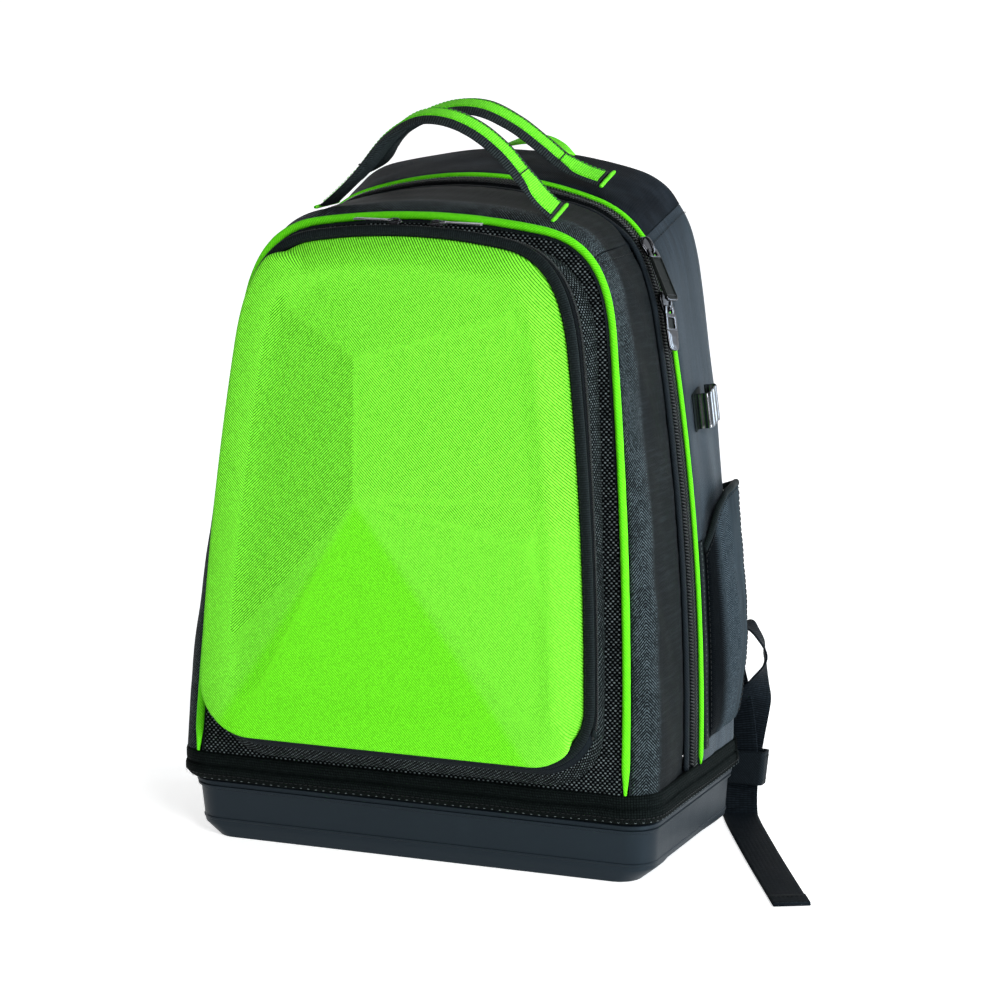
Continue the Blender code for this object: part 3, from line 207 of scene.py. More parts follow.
@lru_cache(maxsize=None)
def along(u, line):
    """The s that lies so many millimetres behind a section, on arch u."""
    s, mm = line
    left = abs(mm)
    sign = 1.0 if mm >= 0 else -1.0
    while left > 1e-6:
        step = min(left, 1.0)
        e = 1e-3
        a, b = max(0.0, s - e), min(5.0, s + e)
        rate = (body(u, b) - body(u, a)).length / (b - a)
        s += sign * step / rate
        left -= step
    return s


def arch_us(n_side, n_corner, n_top, lo=0.0, hi=1.0):
    half = [V_SIDE * i / n_side for i in range(n_side)]
    half += [lerp(V_SIDE, V_CORNER, i / n_corner) for i in range(n_corner)]
    half += [lerp(V_CORNER, 1.0, i / n_top) for i in range(n_top)]
    full = [v / 2 for v in half] + [0.5] + [1 - v / 2 for v in reversed(half)]
    keep = [u for u in full if lo + 0.004 < u < hi - 0.004]
    return [lo] + keep + [hi]


LEFT_HI = V_SEAM / 2 - 0.0005
TOP_LO, TOP_HI = V_SEAM / 2 + 0.0005, 1 - V_SEAM / 2 - 0.0005
RIGHT_LO = 1 - V_SEAM / 2 + 0.0005
FRONT_EDGE, FRONT_BACK = (0, 3.4), (3, -22.0)
REAR_EDGE, REAR_BACK = (3, 2.6), (5, -0.2)


def plan_loop(hx, y0, y1, r, n_corner=5, side_stops=(), front_stops=0):
    """Rounded rectangle seen from above, anticlockwise from the right front
    corner's end; side_stops are y values kept as points on both sides."""
    pts = []

    def arc(cx, cy, a0):
        for i in range(n_corner + 1):
            a = math.radians(a0 + 90.0 * i / n_corner)
            pts.append((cx + r * math.cos(a), cy + r * math.sin(a)))

    arc(hx - r, y0 + r, -90)
    for y in side_stops:
        pts.append((hx, y))
    arc(hx - r, y1 - r, 0)
    arc(-hx + r, y1 - r, 90)
    for y in reversed(side_stops):
        pts.append((-hx, y))
    arc(-hx + r, y0 + r, 180)
    return pts


STOPS = (NOTCH_Y[0] - NOTCH_RUN, NOTCH_Y[0], NOTCH_Y[1], NOTCH_Y[1] + NOTCH_RUN)


def front_y(z):
    return SECTIONS[0][0] + SECTIONS[0][1] * (z - 80.0)


def pocket_xz(row, n_side=5, n_corner=4, n_top=4, n_low=4):
    """Closed outline: up the left, over the top, down the right, along the
    bottom with round lower corners."""
    w100, w200, w350, z_sh, x_top, z_top, crown, z_low, r = row
    arch_row = (0, 0, w100 + (w100 - w200) * 0.35, w200, w350, z_sh, x_top, z_top, crown)
    z0 = z_low + r
    half = []
    for i in range(n_side + 1):
        half.append(arch_xz(arch_row, V_SIDE * i / n_side, z0))
    for i in range(1, n_corner + 1):
        half.append(arch_xz(arch_row, lerp(V_SIDE, V_CORNER, i / n_corner), z0))
    for i in range(1, n_top + 1):
        half.append(arch_xz(arch_row, lerp(V_CORNER, 1.0, i / n_top), z0))
    x0 = half[0][0]
    low = []
    for i in range(1, n_low + 1):
        a = math.pi / 2 * i / n_low
        low.append((x0 - r + r * math.cos(a), z0 - r * math.sin(a)))
    lows = low + [(lerp(x0 - r, 0.0, i / 14), z_low) for i in range(1, 15)]
    left = [(-x, z) for x, z in reversed(lows)] + [(-x, z) for x, z in half]
    right = [(x, z) for x, z in reversed(half[:-1])] + lows[:-1]
    return left + right


def offset_loop(pts, d):
    """Moves a closed outline outwards by d (inwards when negative)."""
    n = len(pts)
    out = []
    for i in range(n):
        a, b = pts[i - 1], pts[(i + 1) % n]
        dx, dz = b[0] - a[0], b[1] - a[1]
        ln = math.hypot(dx, dz)
        out.append((pts[i][0] - dz / ln * d, pts[i][1] + dx / ln * d))
    return out


def rim_out(z):
    return lerp(RIM_OUT[0], RIM_OUT[1], (z - 90.0) / 330.0)


def in_pocket(pts, fwd):
    """Puts outline points in space, fwd(z) millimetres before the front."""
    return [Vector((x, front_y(z) - fwd(z), z)) for x, z in pts]


N_SIDE, N_CORNER, N_TOP, N_LOW = 44, 26, 24, 22
BASE = pocket_xz(POCKET_BASE, N_SIDE, N_CORNER, N_TOP, N_LOW)
RIM = pocket_xz(POCKET_RIM, N_SIDE, N_CORNER, N_TOP, N_LOW)


def pocket_mix(t):
    return [(lerp(a[0], b[0], t), lerp(a[1], b[1], t)) for a, b in zip(BASE, RIM)]


def local_frame(p, t, n):
    """Maps (along t, across, out along n) to space."""
    t = (t - n * t.dot(n)).normalized()
    a = n.cross(t).normalized()
    return lambda x, y, z: p + t * x + a * y + n * z


def turned(t, n, deg):
    return t * math.cos(math.radians(deg)) + n.cross(t) * math.sin(math.radians(deg))


def zip_point(u, a=-8.6, b=2.9):
    p, d, n = body_frame(u, along(u, (3, a)))
    q = body_frame(u + 0.004, along(u + 0.004, (3, a)))[0]
    return p + n * b, (q - p).normalized(), n


def pocket_zip_point(x_at, side):
    """Point on the pocket zip over the top edge at the given x."""
    lp = offset_loop(pocket_mix(0.76), 1.9)
    best = None
    for i in range(len(lp) - 1):
        a, b = lp[i], lp[i + 1]
        if a[1] > 380 and a[0] <= x_at <= b[0]:
            f = (x_at - a[0]) / (b[0] - a[0])
            x, z = lerp(a[0], b[0], f), lerp(a[1], b[1], f)
            t = Vector((b[0] - a[0], front_y(b[1]) - front_y(a[1]), b[1] - a[1])).normalized() * side
            best = (x, z, t)
    x, z, t = best
    p = Vector((x, front_y(z) - (1.7 + (rim_out(z) - 1.7) * 0.76), z))
    n = Vector((0.0, -0.10, 1.0))
    n = (n - t * n.dot(t)).normalized()
    return p + n * 0.4, t, n


HANDLE_FRONT = (
    # x,      y,     z,     wx,   wy,   wz,  width, thick
    (-84.0, -37.0, 436.6, 0.22, 0.97, 0.10, 26.0, 3.2),
    (-74.5, -39.0, 444.0, 0.24, 0.95, 0.18, 27.0, 3.4),
    (-55.0, -44.5, 460.5, 0.26, 0.92, 0.22, 26.0, 4.6),
    (-33.0, -49.5, 483.5, 0.20, 0.93, 0.26, 25.0, 6.0),
    (-12.0, -52.5, 496.5, 0.08, 0.94, 0.32, 24.5, 6.0),
    (8.0, -53.0, 498.0, 0.00, 0.94, 0.34, 24.5, 6.0),
    (28.0, -51.0, 490.5, 0.00, 0.95, 0.32, 24.5, 6.0),
    (46.0, -47.5, 476.5, 0.00, 0.95, 0.30, 24.5, 5.8),
    (60.0, -44.0, 460.0, 0.00, 0.95, 0.30, 25.0, 5.0),
    (71.0, -41.0, 446.5, -0.03, 0.94, 0.32, 26.5, 3.4),
    (80.5, -38.0, 437.5, -0.05, 0.93, 0.35, 26.5, 3.2),
)

HANDLE_REAR = (
    (-95.0, 57.0, 451.2, 0.06, 0.99, 0.14, 26.0, 3.2),
    (-85.0, 55.0, 457.6, 0.06, 0.98, 0.17, 27.0, 3.4),
    (-72.5, 50.0, 474.0, 0.04, 0.96, 0.24, 25.0, 5.6),
    (-52.0, 45.0, 488.5, 0.00, 0.94, 0.32, 24.5, 6.0),
    (-27.0, 42.0, 497.0, 0.00, 0.93, 0.36, 24.5, 6.0),
    (-4.0, 42.0, 497.0, 0.00, 0.93, 0.36, 24.5, 6.0),
    (18.0, 45.0, 487.0, 0.00, 0.94, 0.33, 24.5, 6.0),
    (36.0, 49.0, 473.5, 0.00, 0.95, 0.30, 24.5, 5.8),
    (50.0, 53.0, 462.0, -0.02, 0.95, 0.28, 25.5, 4.6),
    (64.0, 55.5, 455.0, -0.05, 0.95, 0.26, 26.5, 3.4),
    (78.0, 57.0, 450.6, -0.06, 0.95, 0.28, 26.5, 3.2),
)

HANG_LOOP = (
    (-9.0, 79.0, 467.2, 0.0, 1.0, -0.1, 12.0, 1.6),
    (0.0, 83.0, 470.2, 0.1, 0.95, 0.2, 12.0, 1.6),
    (11.0, 86.0, 473.0, 0.1, 0.9, 0.4, 12.0, 1.6),
    (23.0, 87.0, 473.0, 0.0, 0.9, 0.4, 12.0, 1.6),
    (34.5, 84.0, 469.6, -0.1, 0.95, 0.3, 12.0, 1.6),
    (44.5, 79.0, 465.0, 0.0, 1.0, -0.1, 12.0, 1.6),
)

POUCH = (
    (0.00, 0.0, 92.0, 204.0),
    (0.07, 4.0, 92.0, 214.0),
    (0.16, 7.0, 92.0, 225.0),
    (0.32, 9.5, 92.0, 236.0),
    (0.52, 10.5, 92.0, 240.0),
    (0.72, 9.0, 92.0, 240.0),
    (0.88, 5.0, 92.0, 238.0),
    (1.00, 0.0, 92.0, 236.0),
)

SHOULDER_STRAP = (
    # x,     y,     z,     wx,   wy,   wz,  width, thick
    (44.0, 121.0, 430.0, 0.97, 0.0, 0.20, 52.0, 9.0),
    (52.0, 131.0, 405.0, 0.96, 0.0, 0.26, 58.0, 12.0),
    (68.0, 139.0, 360.0, 0.94, 0.0, 0.30, 64.0, 13.0),
    (84.0, 141.0, 305.0, 0.96, 0.0, 0.24, 64.0, 13.0),
    (94.0, 138.0, 250.0, 0.98, 0.0, 0.18, 60.0, 13.0),
    (106.0, 133.0, 200.0, 0.96, 0.0, 0.28, 48.0, 12.0),
    (122.0, 128.5, 163.0, 0.90, 0.0, 0.38, 34.0, 9.0),
    (127.5, 127.5, 152.0, 0.90, 0.0, 0.40, 30.0, 7.0),
)

POUCH_LINES = ((3, 9.5), (4, 12.0))
POUCH_WALL = 3.0


def u_at(z, side, s=3.5):
    """The arch position that reaches height z on the side at section s."""
    v = V_SIDE * (z - BODY_Z0) / (section_row(s)[5] - BODY_Z0)
    return 1 - v / 2 if side > 0 else v / 2


def back_y(z):
    return SECTIONS[5][0] + SECTIONS[5][1] * (z - 80.0)


def mirrored(rows):
    return tuple((-r[0],) + r[1:3] + (-r[3],) + r[4:] for r in rows)


LOCK_AT = Vector((135.5, 126.5, 139.0))
LOCK_UP = Vector((-0.42, 0.0, 0.90)).normalized()
LOCK_W = Vector((0.90, 0.0, 0.42)).normalized()
LOCK_N = Vector((0.0, -1.0, 0.0))


def lock_pt(a, b, c, side=1.0):
    p = LOCK_AT + LOCK_W * a + LOCK_UP * b + LOCK_N * c
    return Vector((p.x * side, p.y, p.z))


def lock_row(b, c, width=25.0):
    p = lock_pt(0.0, b, c)
    return (p.x, p.y, p.z, LOCK_W.x, LOCK_W.y, LOCK_W.z, width, 1.5)


WEB_UP = (
    (164.0, 104.0, 24.5, 1.0, 0.0, 0.0, 25.0, 1.5),
    (165.5, 104.8, 46.0, 1.0, 0.0, 0.0, 25.0, 1.5),
    (160.5, 109.0, 76.0, 0.98, 0.0, 0.15, 25.0, 1.5),
    (151.0, 117.0, 104.0, 0.94, 0.0, 0.34, 25.0, 1.5),
    lock_row(-13.0, -4.4),
    lock_row(-3.0, -4.2),
    lock_row(3.4, -3.3),
    lock_row(5.0, 0.0),
    lock_row(3.4, 3.3),
    lock_row(-3.0, 4.2),
)

WEB_DOWN_RIGHT = (
    lock_row(-13.0, 5.2),
    (155.0, 119.0, 130.5, 0.60, 0.60, 0.30, 25.0, 1.5),
    (166.0, 118.5, 133.5, -0.16, 0.98, 0.05, 25.0, 1.5),
    (175.5, 117.5, 124.0, -0.28, 0.96, 0.0, 25.0, 1.5),
    (179.0, 116.5, 112.0, -0.36, 0.93, 0.0, 25.0, 1.5),
    (175.5, 114.5, 96.5, 0.24, 0.97, 0.0, 25.0, 1.5),
    (171.5, 112.0, 78.0, 0.93, 0.36, 0.0, 25.0, 1.5),
    (167.0, 109.5, 46.0, 1.0, 0.02, -0.02, 25.0, 1.5),
    (164.5, 109.0, 22.0, 1.0, 0.05, -0.03, 25.0, 1.5),
    (164.3, 107.5, 8.0, 0.98, 0.20, 0.0, 25.0, 1.5),
    (166.3, 102.5, 1.8, 0.95, 0.30, 0.0, 25.0, 1.5),
    (169.5, 95.0, 0.9, 0.92, 0.38, 0.0, 25.0, 1.5),
    (180.0, 73.0, 0.9, 0.90, 0.43, 0.0, 25.0, 1.5),
    (204.0, 26.0, 0.9, 0.90, 0.43, 0.0, 25.0, 1.5),
    (228.0, -20.0, 0.9, 0.89, 0.45, 0.0, 25.0, 1.5),
    (266.5, -92.5, 0.9, 0.86, 0.50, 0.0, 25.0, 1.5),
)

WEB_DOWN_LEFT = (
    lock_row(-13.0, 5.2),
    (154.0, 122.0, 116.0, 0.94, 0.1, 0.30, 25.0, 1.5),
    (163.0, 115.5, 80.0, 0.99, 0.0, 0.12, 25.0, 1.5),
    (166.0, 109.5, 46.0, 1.0, 0.0, 0.0, 25.0, 1.5),
    (165.0, 109.0, 22.0, 1.0, 0.0, 0.0, 25.0, 1.5),
    (162.0, 110.0, 8.0, 0.98, 0.20, 0.0, 25.0, 1.5),
    (157.0, 115.0, 1.6, 0.86, 0.50, 0.0, 25.0, 1.5),
    (149.0, 123.5, 0.9, 0.78, 0.62, 0.0, 25.0, 1.5),
    (124.0, 152.0, 0.9, 0.77, 0.64, 0.0, 25.0, 1.5),
    (90.0, 193.0, 0.9, 0.77, 0.64, 0.0, 25.0, 1.5),
    (13.0, 285.0, 0.9, 0.77, 0.64, 0.0, 25.0, 1.5),
)

CLIP_U = u_at(298.0, 1)
CLIP_P, CLIP_D, CLIP_N = body_frame(CLIP_U, along(CLIP_U, (3, 31.0)))
CLIP_UP = (body(CLIP_U - 0.01, 3.5) - body(CLIP_U, 3.5)).normalized()


def clip_frame(a, b, c):
    """a back along the side, b up it, c outwards."""
    return CLIP_P + CLIP_D * a + CLIP_UP * b + CLIP_N * (c + 1.5)

# ---------------------------------------------------------------- materials


class Mat:
    """Small builder for node materials; UVs are millimetres on the piece."""

    def __init__(self, name, rough=0.8, spec=0.3, metal=0.0, coat=0.0, coat_rough=0.1, sheen=0.0):
        self.m = bpy.data.materials.new(name)
        self.m.use_nodes = True
        self.nt = self.m.node_tree
        self.b = self.nt.nodes["Principled BSDF"]
        for key, value in (("Roughness", rough), ("Specular IOR Level", spec), ("Metallic", metal),
                           ("Coat Weight", coat), ("Coat Roughness", coat_rough), ("Sheen Weight", sheen)):
            self.b.inputs[key].default_value = value
        uv = self.nt.nodes.new("ShaderNodeUVMap")
        sep = self.nt.nodes.new("ShaderNodeSeparateXYZ")
        self.nt.links.new(uv.outputs[0], sep.inputs[0])
        self.x, self.y = sep.outputs[0], sep.outputs[1]
        self.uvv = uv.outputs[0]
        self.pos = self.nt.nodes.new("ShaderNodeTexCoord").outputs["Object"]

    def put(self, sock, value):
        if hasattr(value, "is_output"):
            self.nt.links.new(value, sock)
        else:
            sock.default_value = value

    def f(self, op, a, b=0.0, c=0.0, clamp=False):
        n = self.nt.nodes.new("ShaderNodeMath")
        n.operation = op
        n.use_clamp = clamp
        for sock, v in zip(n.inputs, (a, b, c)):
            self.put(sock, v)
        return n.outputs[0]

    def mixf(self, t, a, b):
        return self.f("ADD", self.f("MULTIPLY", a, self.f("SUBTRACT", 1.0, t)), self.f("MULTIPLY", b, t))

    def smooth(self, v, lo, hi):
        n = self.nt.nodes.new("ShaderNodeMapRange")
        n.interpolation_type = "SMOOTHSTEP"
        self.put(n.inputs["Value"], v)
        n.inputs["From Min"].default_value = lo
        n.inputs["From Max"].default_value = hi
        return n.outputs[0]

    def noise(self, scale, detail=2.0, rough=0.5, vec=None, squeeze=None):
        n = self.nt.nodes.new("ShaderNodeTexNoise")
        n.inputs["Scale"].default_value = scale
        n.inputs["Detail"].default_value = detail
        n.inputs["Roughness"].default_value = rough
        src = vec if vec is not None else self.pos
        if squeeze is not None:
            mp = self.nt.nodes.new("ShaderNodeMapping")
            mp.inputs["Scale"].default_value = squeeze
            self.nt.links.new(src, mp.inputs[0])
            src = mp.outputs[0]
        self.nt.links.new(src, n.inputs["Vector"])
        return n.outputs[0]

    def cell(self, x, y):
        c = self.nt.nodes.new("ShaderNodeCombineXYZ")
        self.put(c.inputs[0], x)
        self.put(c.inputs[1], y)
        n = self.nt.nodes.new("ShaderNodeTexWhiteNoise")
        n.noise_dimensions = "2D"
        self.nt.links.new(c.outputs[0], n.inputs["Vector"])
        return n.outputs[0]

    def colour(self, t, c0, c1):
        n = self.nt.nodes.new("ShaderNodeMix")
        n.data_type = "RGBA"
        self.put(n.inputs[0], t)
        for sock, c in ((n.inputs[6], c0), (n.inputs[7], c1)):
            if hasattr(c, "is_output"):
                self.nt.links.new(c, sock)
            else:
                sock.default_value = (c[0], c[1], c[2], 1.0)
        return n.outputs[2]

    def done(self, colour=None, rough=None, height=None, dist=0.3, strength=1.0):
        if colour is not None:
            if hasattr(colour, "is_output"):
                self.nt.links.new(colour, self.b.inputs["Base Color"])
            else:
                self.b.inputs["Base Color"].default_value = (*colour, 1.0)
        if rough is not None:
            self.nt.links.new(rough, self.b.inputs["Roughness"])
        if height is not None:
            n = self.nt.nodes.new("ShaderNodeBump")
            n.inputs["Strength"].default_value = strength
            n.inputs["Distance"].default_value = dist * MM
            self.nt.links.new(height, n.inputs["Height"])
            self.nt.links.new(n.outputs[0], self.b.inputs["Normal"])
        return self.m

    # weaves: each gives (height 0..1, which thread shows 0/1, random per thread crossing)
    def basket(self, p):
        x, y = self.f("DIVIDE", self.x, p), self.f("DIVIDE", self.y, p)
        fx, fy = self.f("FRACT", x), self.f("FRACT", y)
        ix, iy = self.f("FLOOR", x), self.f("FLOOR", y)
        par = self.f("MODULO", self.f("ABSOLUTE", self.f("ADD", ix, iy)), 2.0)
        sx = self.f("SINE", self.f("MULTIPLY", fx, math.pi))
        sy = self.f("SINE", self.f("MULTIPLY", fy, math.pi))
        h0 = self.f("MULTIPLY", sy, self.f("MULTIPLY_ADD", sx, 0.5, 0.5))
        h1 = self.f("MULTIPLY", sx, self.f("MULTIPLY_ADD", sy, 0.5, 0.5))
        return self.mixf(par, h0, h1), par, self.cell(ix, iy)

    def twill(self, p, lean=1.0, x=None):
        x = self.x if x is None else x
        d = self.f("DIVIDE", self.f("MULTIPLY_ADD", x, lean, self.y), p)
        e = self.f("DIVIDE", self.f("MULTIPLY_ADD", x, -lean, self.y), p * 0.5)
        s = self.f("SINE", self.f("MULTIPLY", self.f("FRACT", d), math.pi))
        c = self.f("SINE", self.f("MULTIPLY", self.f("FRACT", e), math.pi))
        return self.f("MULTIPLY", s, self.f("MULTIPLY_ADD", c, 0.3, 0.7)), s, self.cell(self.f("FLOOR", d), self.f("FLOOR", e))

    def ribs(self, p, fine=0.8):
        y = self.f("DIVIDE", self.y, p)
        x = self.f("DIVIDE", self.x, fine)
        s = self.f("SINE", self.f("MULTIPLY", self.f("FRACT", y), math.pi))
        c = self.f("SINE", self.f("MULTIPLY", self.f("FRACT", x), math.pi))
        return self.f("MULTIPLY", s, self.f("MULTIPLY_ADD", c, 0.35, 0.65)), s, self.cell(self.f("FLOOR", x), self.f("FLOOR", y))


def cloth(name, kind, p, dark, light, rough=0.75, spec=0.25, bump=0.25, sheen=0.0, blotch=0.25, lattice=0.0, punch=1.0, **kw):
    """A woven cloth: kind basket, twill or ribs; dark between the threads, light on their crowns.
    lattice: how much darker the threads of one direction are."""
    m = Mat(name, rough, spec, sheen=sheen)
    m.b.inputs["Specular Tint"].default_value = (0.78, 0.9, 1.0, 1.0)
    h, s, r = getattr(m, kind)(p, **kw)
    big = m.noise(22.0, 3.0)
    t = m.f("MULTIPLY", h, m.f("MULTIPLY_ADD", r, 0.5, 0.6))
    if lattice:
        t = m.f("MULTIPLY", t, m.f("MULTIPLY_ADD", s, -lattice, 1.0))
    t = m.f("MULTIPLY", t, m.f("MULTIPLY_ADD", big, blotch * 2, 1.0 - blotch), clamp=True)
    if punch != 1.0:
        t = m.f("POWER", t, punch)
    col = m.colour(t, dark, light)
    rg = m.f("MULTIPLY_ADD", big, 0.12, rough - 0.06)
    return m.done(col, rg, h, bump)


def make_materials():
    M = {}
    M["ballistic"] = cloth("ballistic_nylon", "basket", 1.65, (0.0003, 0.0005, 0.0006), (0.150, 0.180, 0.184), 0.66, 0.02, 0.40, lattice=0.95, punch=2.0)
    M["ballistic_deep"] = cloth("ballistic_nylon_deep", "basket", 1.65, (0.0006, 0.0009, 0.0010), (0.030, 0.039, 0.043), 0.7, 0.04, 0.40, lattice=0.85)
    # front strip: chevron cloth by the cord, smoother cloth behind it; broad lighter streaks over both are painted
    # highlights of its folds
    m = Mat("front_gusset_cloth", 0.60, 0.035)
    m.b.inputs["Specular Tint"].default_value = (0.78, 0.9, 1.0, 1.0)
    u = m.f("PINGPONG", m.x, 10.5)
    h, s, r = m.twill(2.15, 1.0, x=u)
    near = m.f("SUBTRACT", 1.0, m.smooth(m.x, 17.0, 27.0))
    big = m.noise(16.0, 3.0)
    streak = m.noise(1.0, 3.0, 0.6, vec=m.uvv, squeeze=(0.03, 0.42, 1.0))
    slant_highlight = m.noise(1.0, 2.0, 0.5, vec=m.uvv, squeeze=(0.05, 0.03, 1.0))
    t = m.f("POWER", m.f("MULTIPLY", h, m.f("MULTIPLY_ADD", r, 0.5, 0.75)), 3.4)
    t = m.f("MULTIPLY", t, m.f("MULTIPLY_ADD", slant_highlight, 1.6, 0.1))
    far = m.f("ADD", m.f("MULTIPLY", h, 0.05), m.f("MULTIPLY", m.smooth(streak, 0.42, 0.72), m.f("MULTIPLY", slant_highlight, 0.13)))
    t = m.mixf(near, far, t)
    col = m.colour(m.f("MULTIPLY", t, m.f("MULTIPLY_ADD", big, 0.7, 0.65), clamp=True), (0.0006, 0.0010, 0.0012), (0.078, 0.102, 0.112))
    M["front_gusset"] = m.done(col, None, m.mixf(near, m.f("MULTIPLY", h, 0.3), h), 0.30)
    # rear side: finer cloth with faint upright streaks
    m = Mat("rear_gusset_cloth", 0.52, 0.10, sheen=0.16)
    m.b.inputs["Sheen Roughness"].default_value = 0.38
    m.b.inputs["Sheen Tint"].default_value = (0.72, 0.88, 1.0, 1.0)
    m.b.inputs["Specular Tint"].default_value = (0.72, 0.88, 1.0, 1.0)
    h, s, r = m.twill(1.7, 1.0)
    streak = m.noise(1.0, 3.0, 0.6, vec=m.uvv, squeeze=(0.34, 0.012, 1.0))
    big = m.noise(12.0, 2.0)
    t = m.f("ADD", m.f("MULTIPLY", h, 0.30), m.f("MULTIPLY", m.smooth(streak, 0.35, 0.68), 0.26))
    col = m.colour(m.f("MULTIPLY", t, m.f("MULTIPLY_ADD", big, 0.6, 0.7), clamp=True), (0.0018, 0.0030, 0.0045), (0.030, 0.045, 0.062))
    M["rear_gusset"] = m.done(col, None, h, 0.16)
    # top strip: the rear cloth with darker colours, painted shade for the top where little light falls
    m = Mat("rear_top_cloth", 0.62, 0.03, sheen=0.01)
    m.b.inputs["Sheen Tint"].default_value = (0.72, 0.88, 1.0, 1.0)
    h, s, r = m.twill(1.7, 1.0)
    streak = m.noise(1.0, 3.0, 0.6, vec=m.uvv, squeeze=(0.05, 0.02, 1.0))
    t = m.f("ADD", m.f("MULTIPLY", h, 0.35), m.f("MULTIPLY", m.smooth(streak, 0.40, 0.70), 0.40))
    M["rear_top"] = m.done(m.colour(t, (0.0012, 0.0018, 0.0028), (0.020, 0.027, 0.036)), None, h, 0.16)
    # side pouch: chevron cloth that darkens towards its front edge as painted shade of the recess there, then a plain
    # cloth past the upright seam
    m = Mat("side_pocket_cloth", 0.66, 0.02, sheen=0.01)
    m.b.inputs["Sheen Tint"].default_value = (0.72, 0.88, 1.0, 1.0)
    m.b.inputs["Specular Tint"].default_value = (0.72, 0.88, 1.0, 1.0)
    u = m.f("PINGPONG", m.x, 7.0)
    h, s, r = m.twill(1.7, 1.0, x=u)
    # painted shade: the cloth darkens towards the front edge, where it turns into the shadowed recess
    recess_shade = m.smooth(m.x, 14.0, 30.0)
    plain = m.smooth(m.x, 47.0, 50.0)
    streak = m.noise(1.0, 3.0, 0.6, vec=m.uvv, squeeze=(0.2, 0.015, 1.0))
    t = m.f("POWER", m.f("MULTIPLY", h, m.f("MULTIPLY_ADD", r, 0.5, 0.75)), 2.2)
    t = m.f("MULTIPLY", t, m.f("MULTIPLY_ADD", recess_shade, 0.97, 0.03))
    t = m.mixf(plain, t, m.f("MULTIPLY_ADD", streak, 0.50, 0.05))
    col = m.colour(m.f("MULTIPLY", t, 1.0, clamp=True), (0.0006, 0.0010, 0.0014), (0.060, 0.084, 0.102))
    M["side_pocket"] = m.done(col, None, m.mixf(plain, h, m.f("MULTIPLY", h, 0.3)), 0.28)
    M["plain_black"] = cloth("plain_black_cloth", "twill", 1.9, (0.0012, 0.0018, 0.0022), (0.010, 0.014, 0.018), 0.60, 0.06, 0.12)
    M["binding"] = cloth("binding_tape", "ribs", 1.5, (0.0012, 0.0019, 0.0019), (0.012, 0.017, 0.0175), 0.55, 0.05, 0.12)
    M["gros_black"] = cloth("ribbed_webbing_black", "ribs", 1.7, (0.0005, 0.0008, 0.0009), (0.034, 0.043, 0.045), 0.62, 0.04, 0.50)
    M["web_black"] = cloth("strap_webbing_black", "ribs", 1.6, (0.0010, 0.0015, 0.0020), (0.0085, 0.0120, 0.0160), 0.66, 0.035, 0.30, fine=2.9)
    M["band"] = cloth("band_webbing", "basket", 1.9, (0.0005, 0.0009, 0.0008), (0.0065, 0.0095, 0.0090), 0.8, 0.03, 0.4)
    M["mesh"] = cloth("spacer_mesh", "basket", 3.2, (0.0006, 0.0009, 0.0010), (0.030, 0.039, 0.044), 0.8, 0.06, 0.9)
    M["green_web"] = cloth("green_webbing", "ribs", 1.5, (0.050, 0.42, 0.006), (0.24, 0.96, 0.045), 0.7, 0.05, 0.30, blotch=0.05)
    M["green_cord"] = cloth("green_cord_cover", "twill", 2.0, (0.060, 0.52, 0.004), (0.17, 0.84, 0.016), 0.62, 0.05, 0.20, blotch=0.05)
    M["thread"] = Mat("black_thread", 0.5, 0.15).done((0.004, 0.0055, 0.006))
    M["grey_thread"] = Mat("grey_thread", 0.5, 0.15).done((0.10, 0.12, 0.12))
    # moulded green panel: fine diagonal twill whose grooves show stronger on the facets that face left and near the top
    # and bottom; the facets that face left are also darker, painted shade
    m = Mat("green_panel_cloth", 0.66, 0.02)
    facet = m.nt.nodes.new("ShaderNodeAttribute")
    facet.attribute_name = "facet"
    crease = m.nt.nodes.new("ShaderNodeAttribute")
    crease.attribute_name = "crease"
    h0, s0, r0 = m.twill(1.95, 1.0)
    h1, s1, r1 = m.twill(1.95, -1.0)
    side = m.smooth(facet.outputs["Fac"], 0.40, 0.60)
    h, r = m.mixf(side, h1, h0), m.mixf(side, r1, r0)
    big = m.noise(14.0, 3.0)
    t = m.f("POWER", m.f("MULTIPLY", h, m.f("MULTIPLY_ADD", r, 0.4, 0.85)), 1.35)
    calm = m.f("SUBTRACT", 1.0, m.f("MULTIPLY", m.smooth(m.y, 262.0, 225.0), m.smooth(m.y, 60.0, 90.0)))
    groove_contrast = m.mixf(side, 1.40, m.f("MULTIPLY_ADD", calm, 0.75, 0.65))
    # the facets that face left get a lower tone: painted shade
    t = m.f("ADD", m.f("MULTIPLY", m.f("SUBTRACT", t, 0.45), groove_contrast), m.mixf(side, 0.38, 0.53))
    t = m.mixf(m.f("MULTIPLY", m.smooth(crease.outputs["Fac"], 0.25, 0.9), 0.34), t, 0.62)
    t = m.f("MULTIPLY_ADD", t, 1.0, 0.0, clamp=True)
    col = m.colour(t, (0.004, 0.120, 0.0003), (0.262, 0.99, 0.054))
    # the facet that widens downwards from the middle gets a purer green, painted as less reflected light on that facet
    down, across = m.f("SUBTRACT", 254.0, m.y), m.f("ADD", m.x, 22.0)
    low_reflection_facet = m.f("MULTIPLY", m.smooth(m.f("MULTIPLY_ADD", down, 0.65, across), -3.0, 7.0),
                m.smooth(m.f("SUBTRACT", m.f("MULTIPLY", down, 0.75), across), -3.0, 7.0))
    col = m.colour(m.f("MULTIPLY", low_reflection_facet, 0.72), col, m.colour(t, (0.003, 0.130, 0.0001), (0.205, 1.00, 0.012)))
    col = m.colour(m.f("MULTIPLY", big, 0.08), col, (0.12, 0.70, 0.010))
    M["green_panel"] = m.done(col, m.f("MULTIPLY_ADD", big, 0.1, 0.55), h, 0.22)
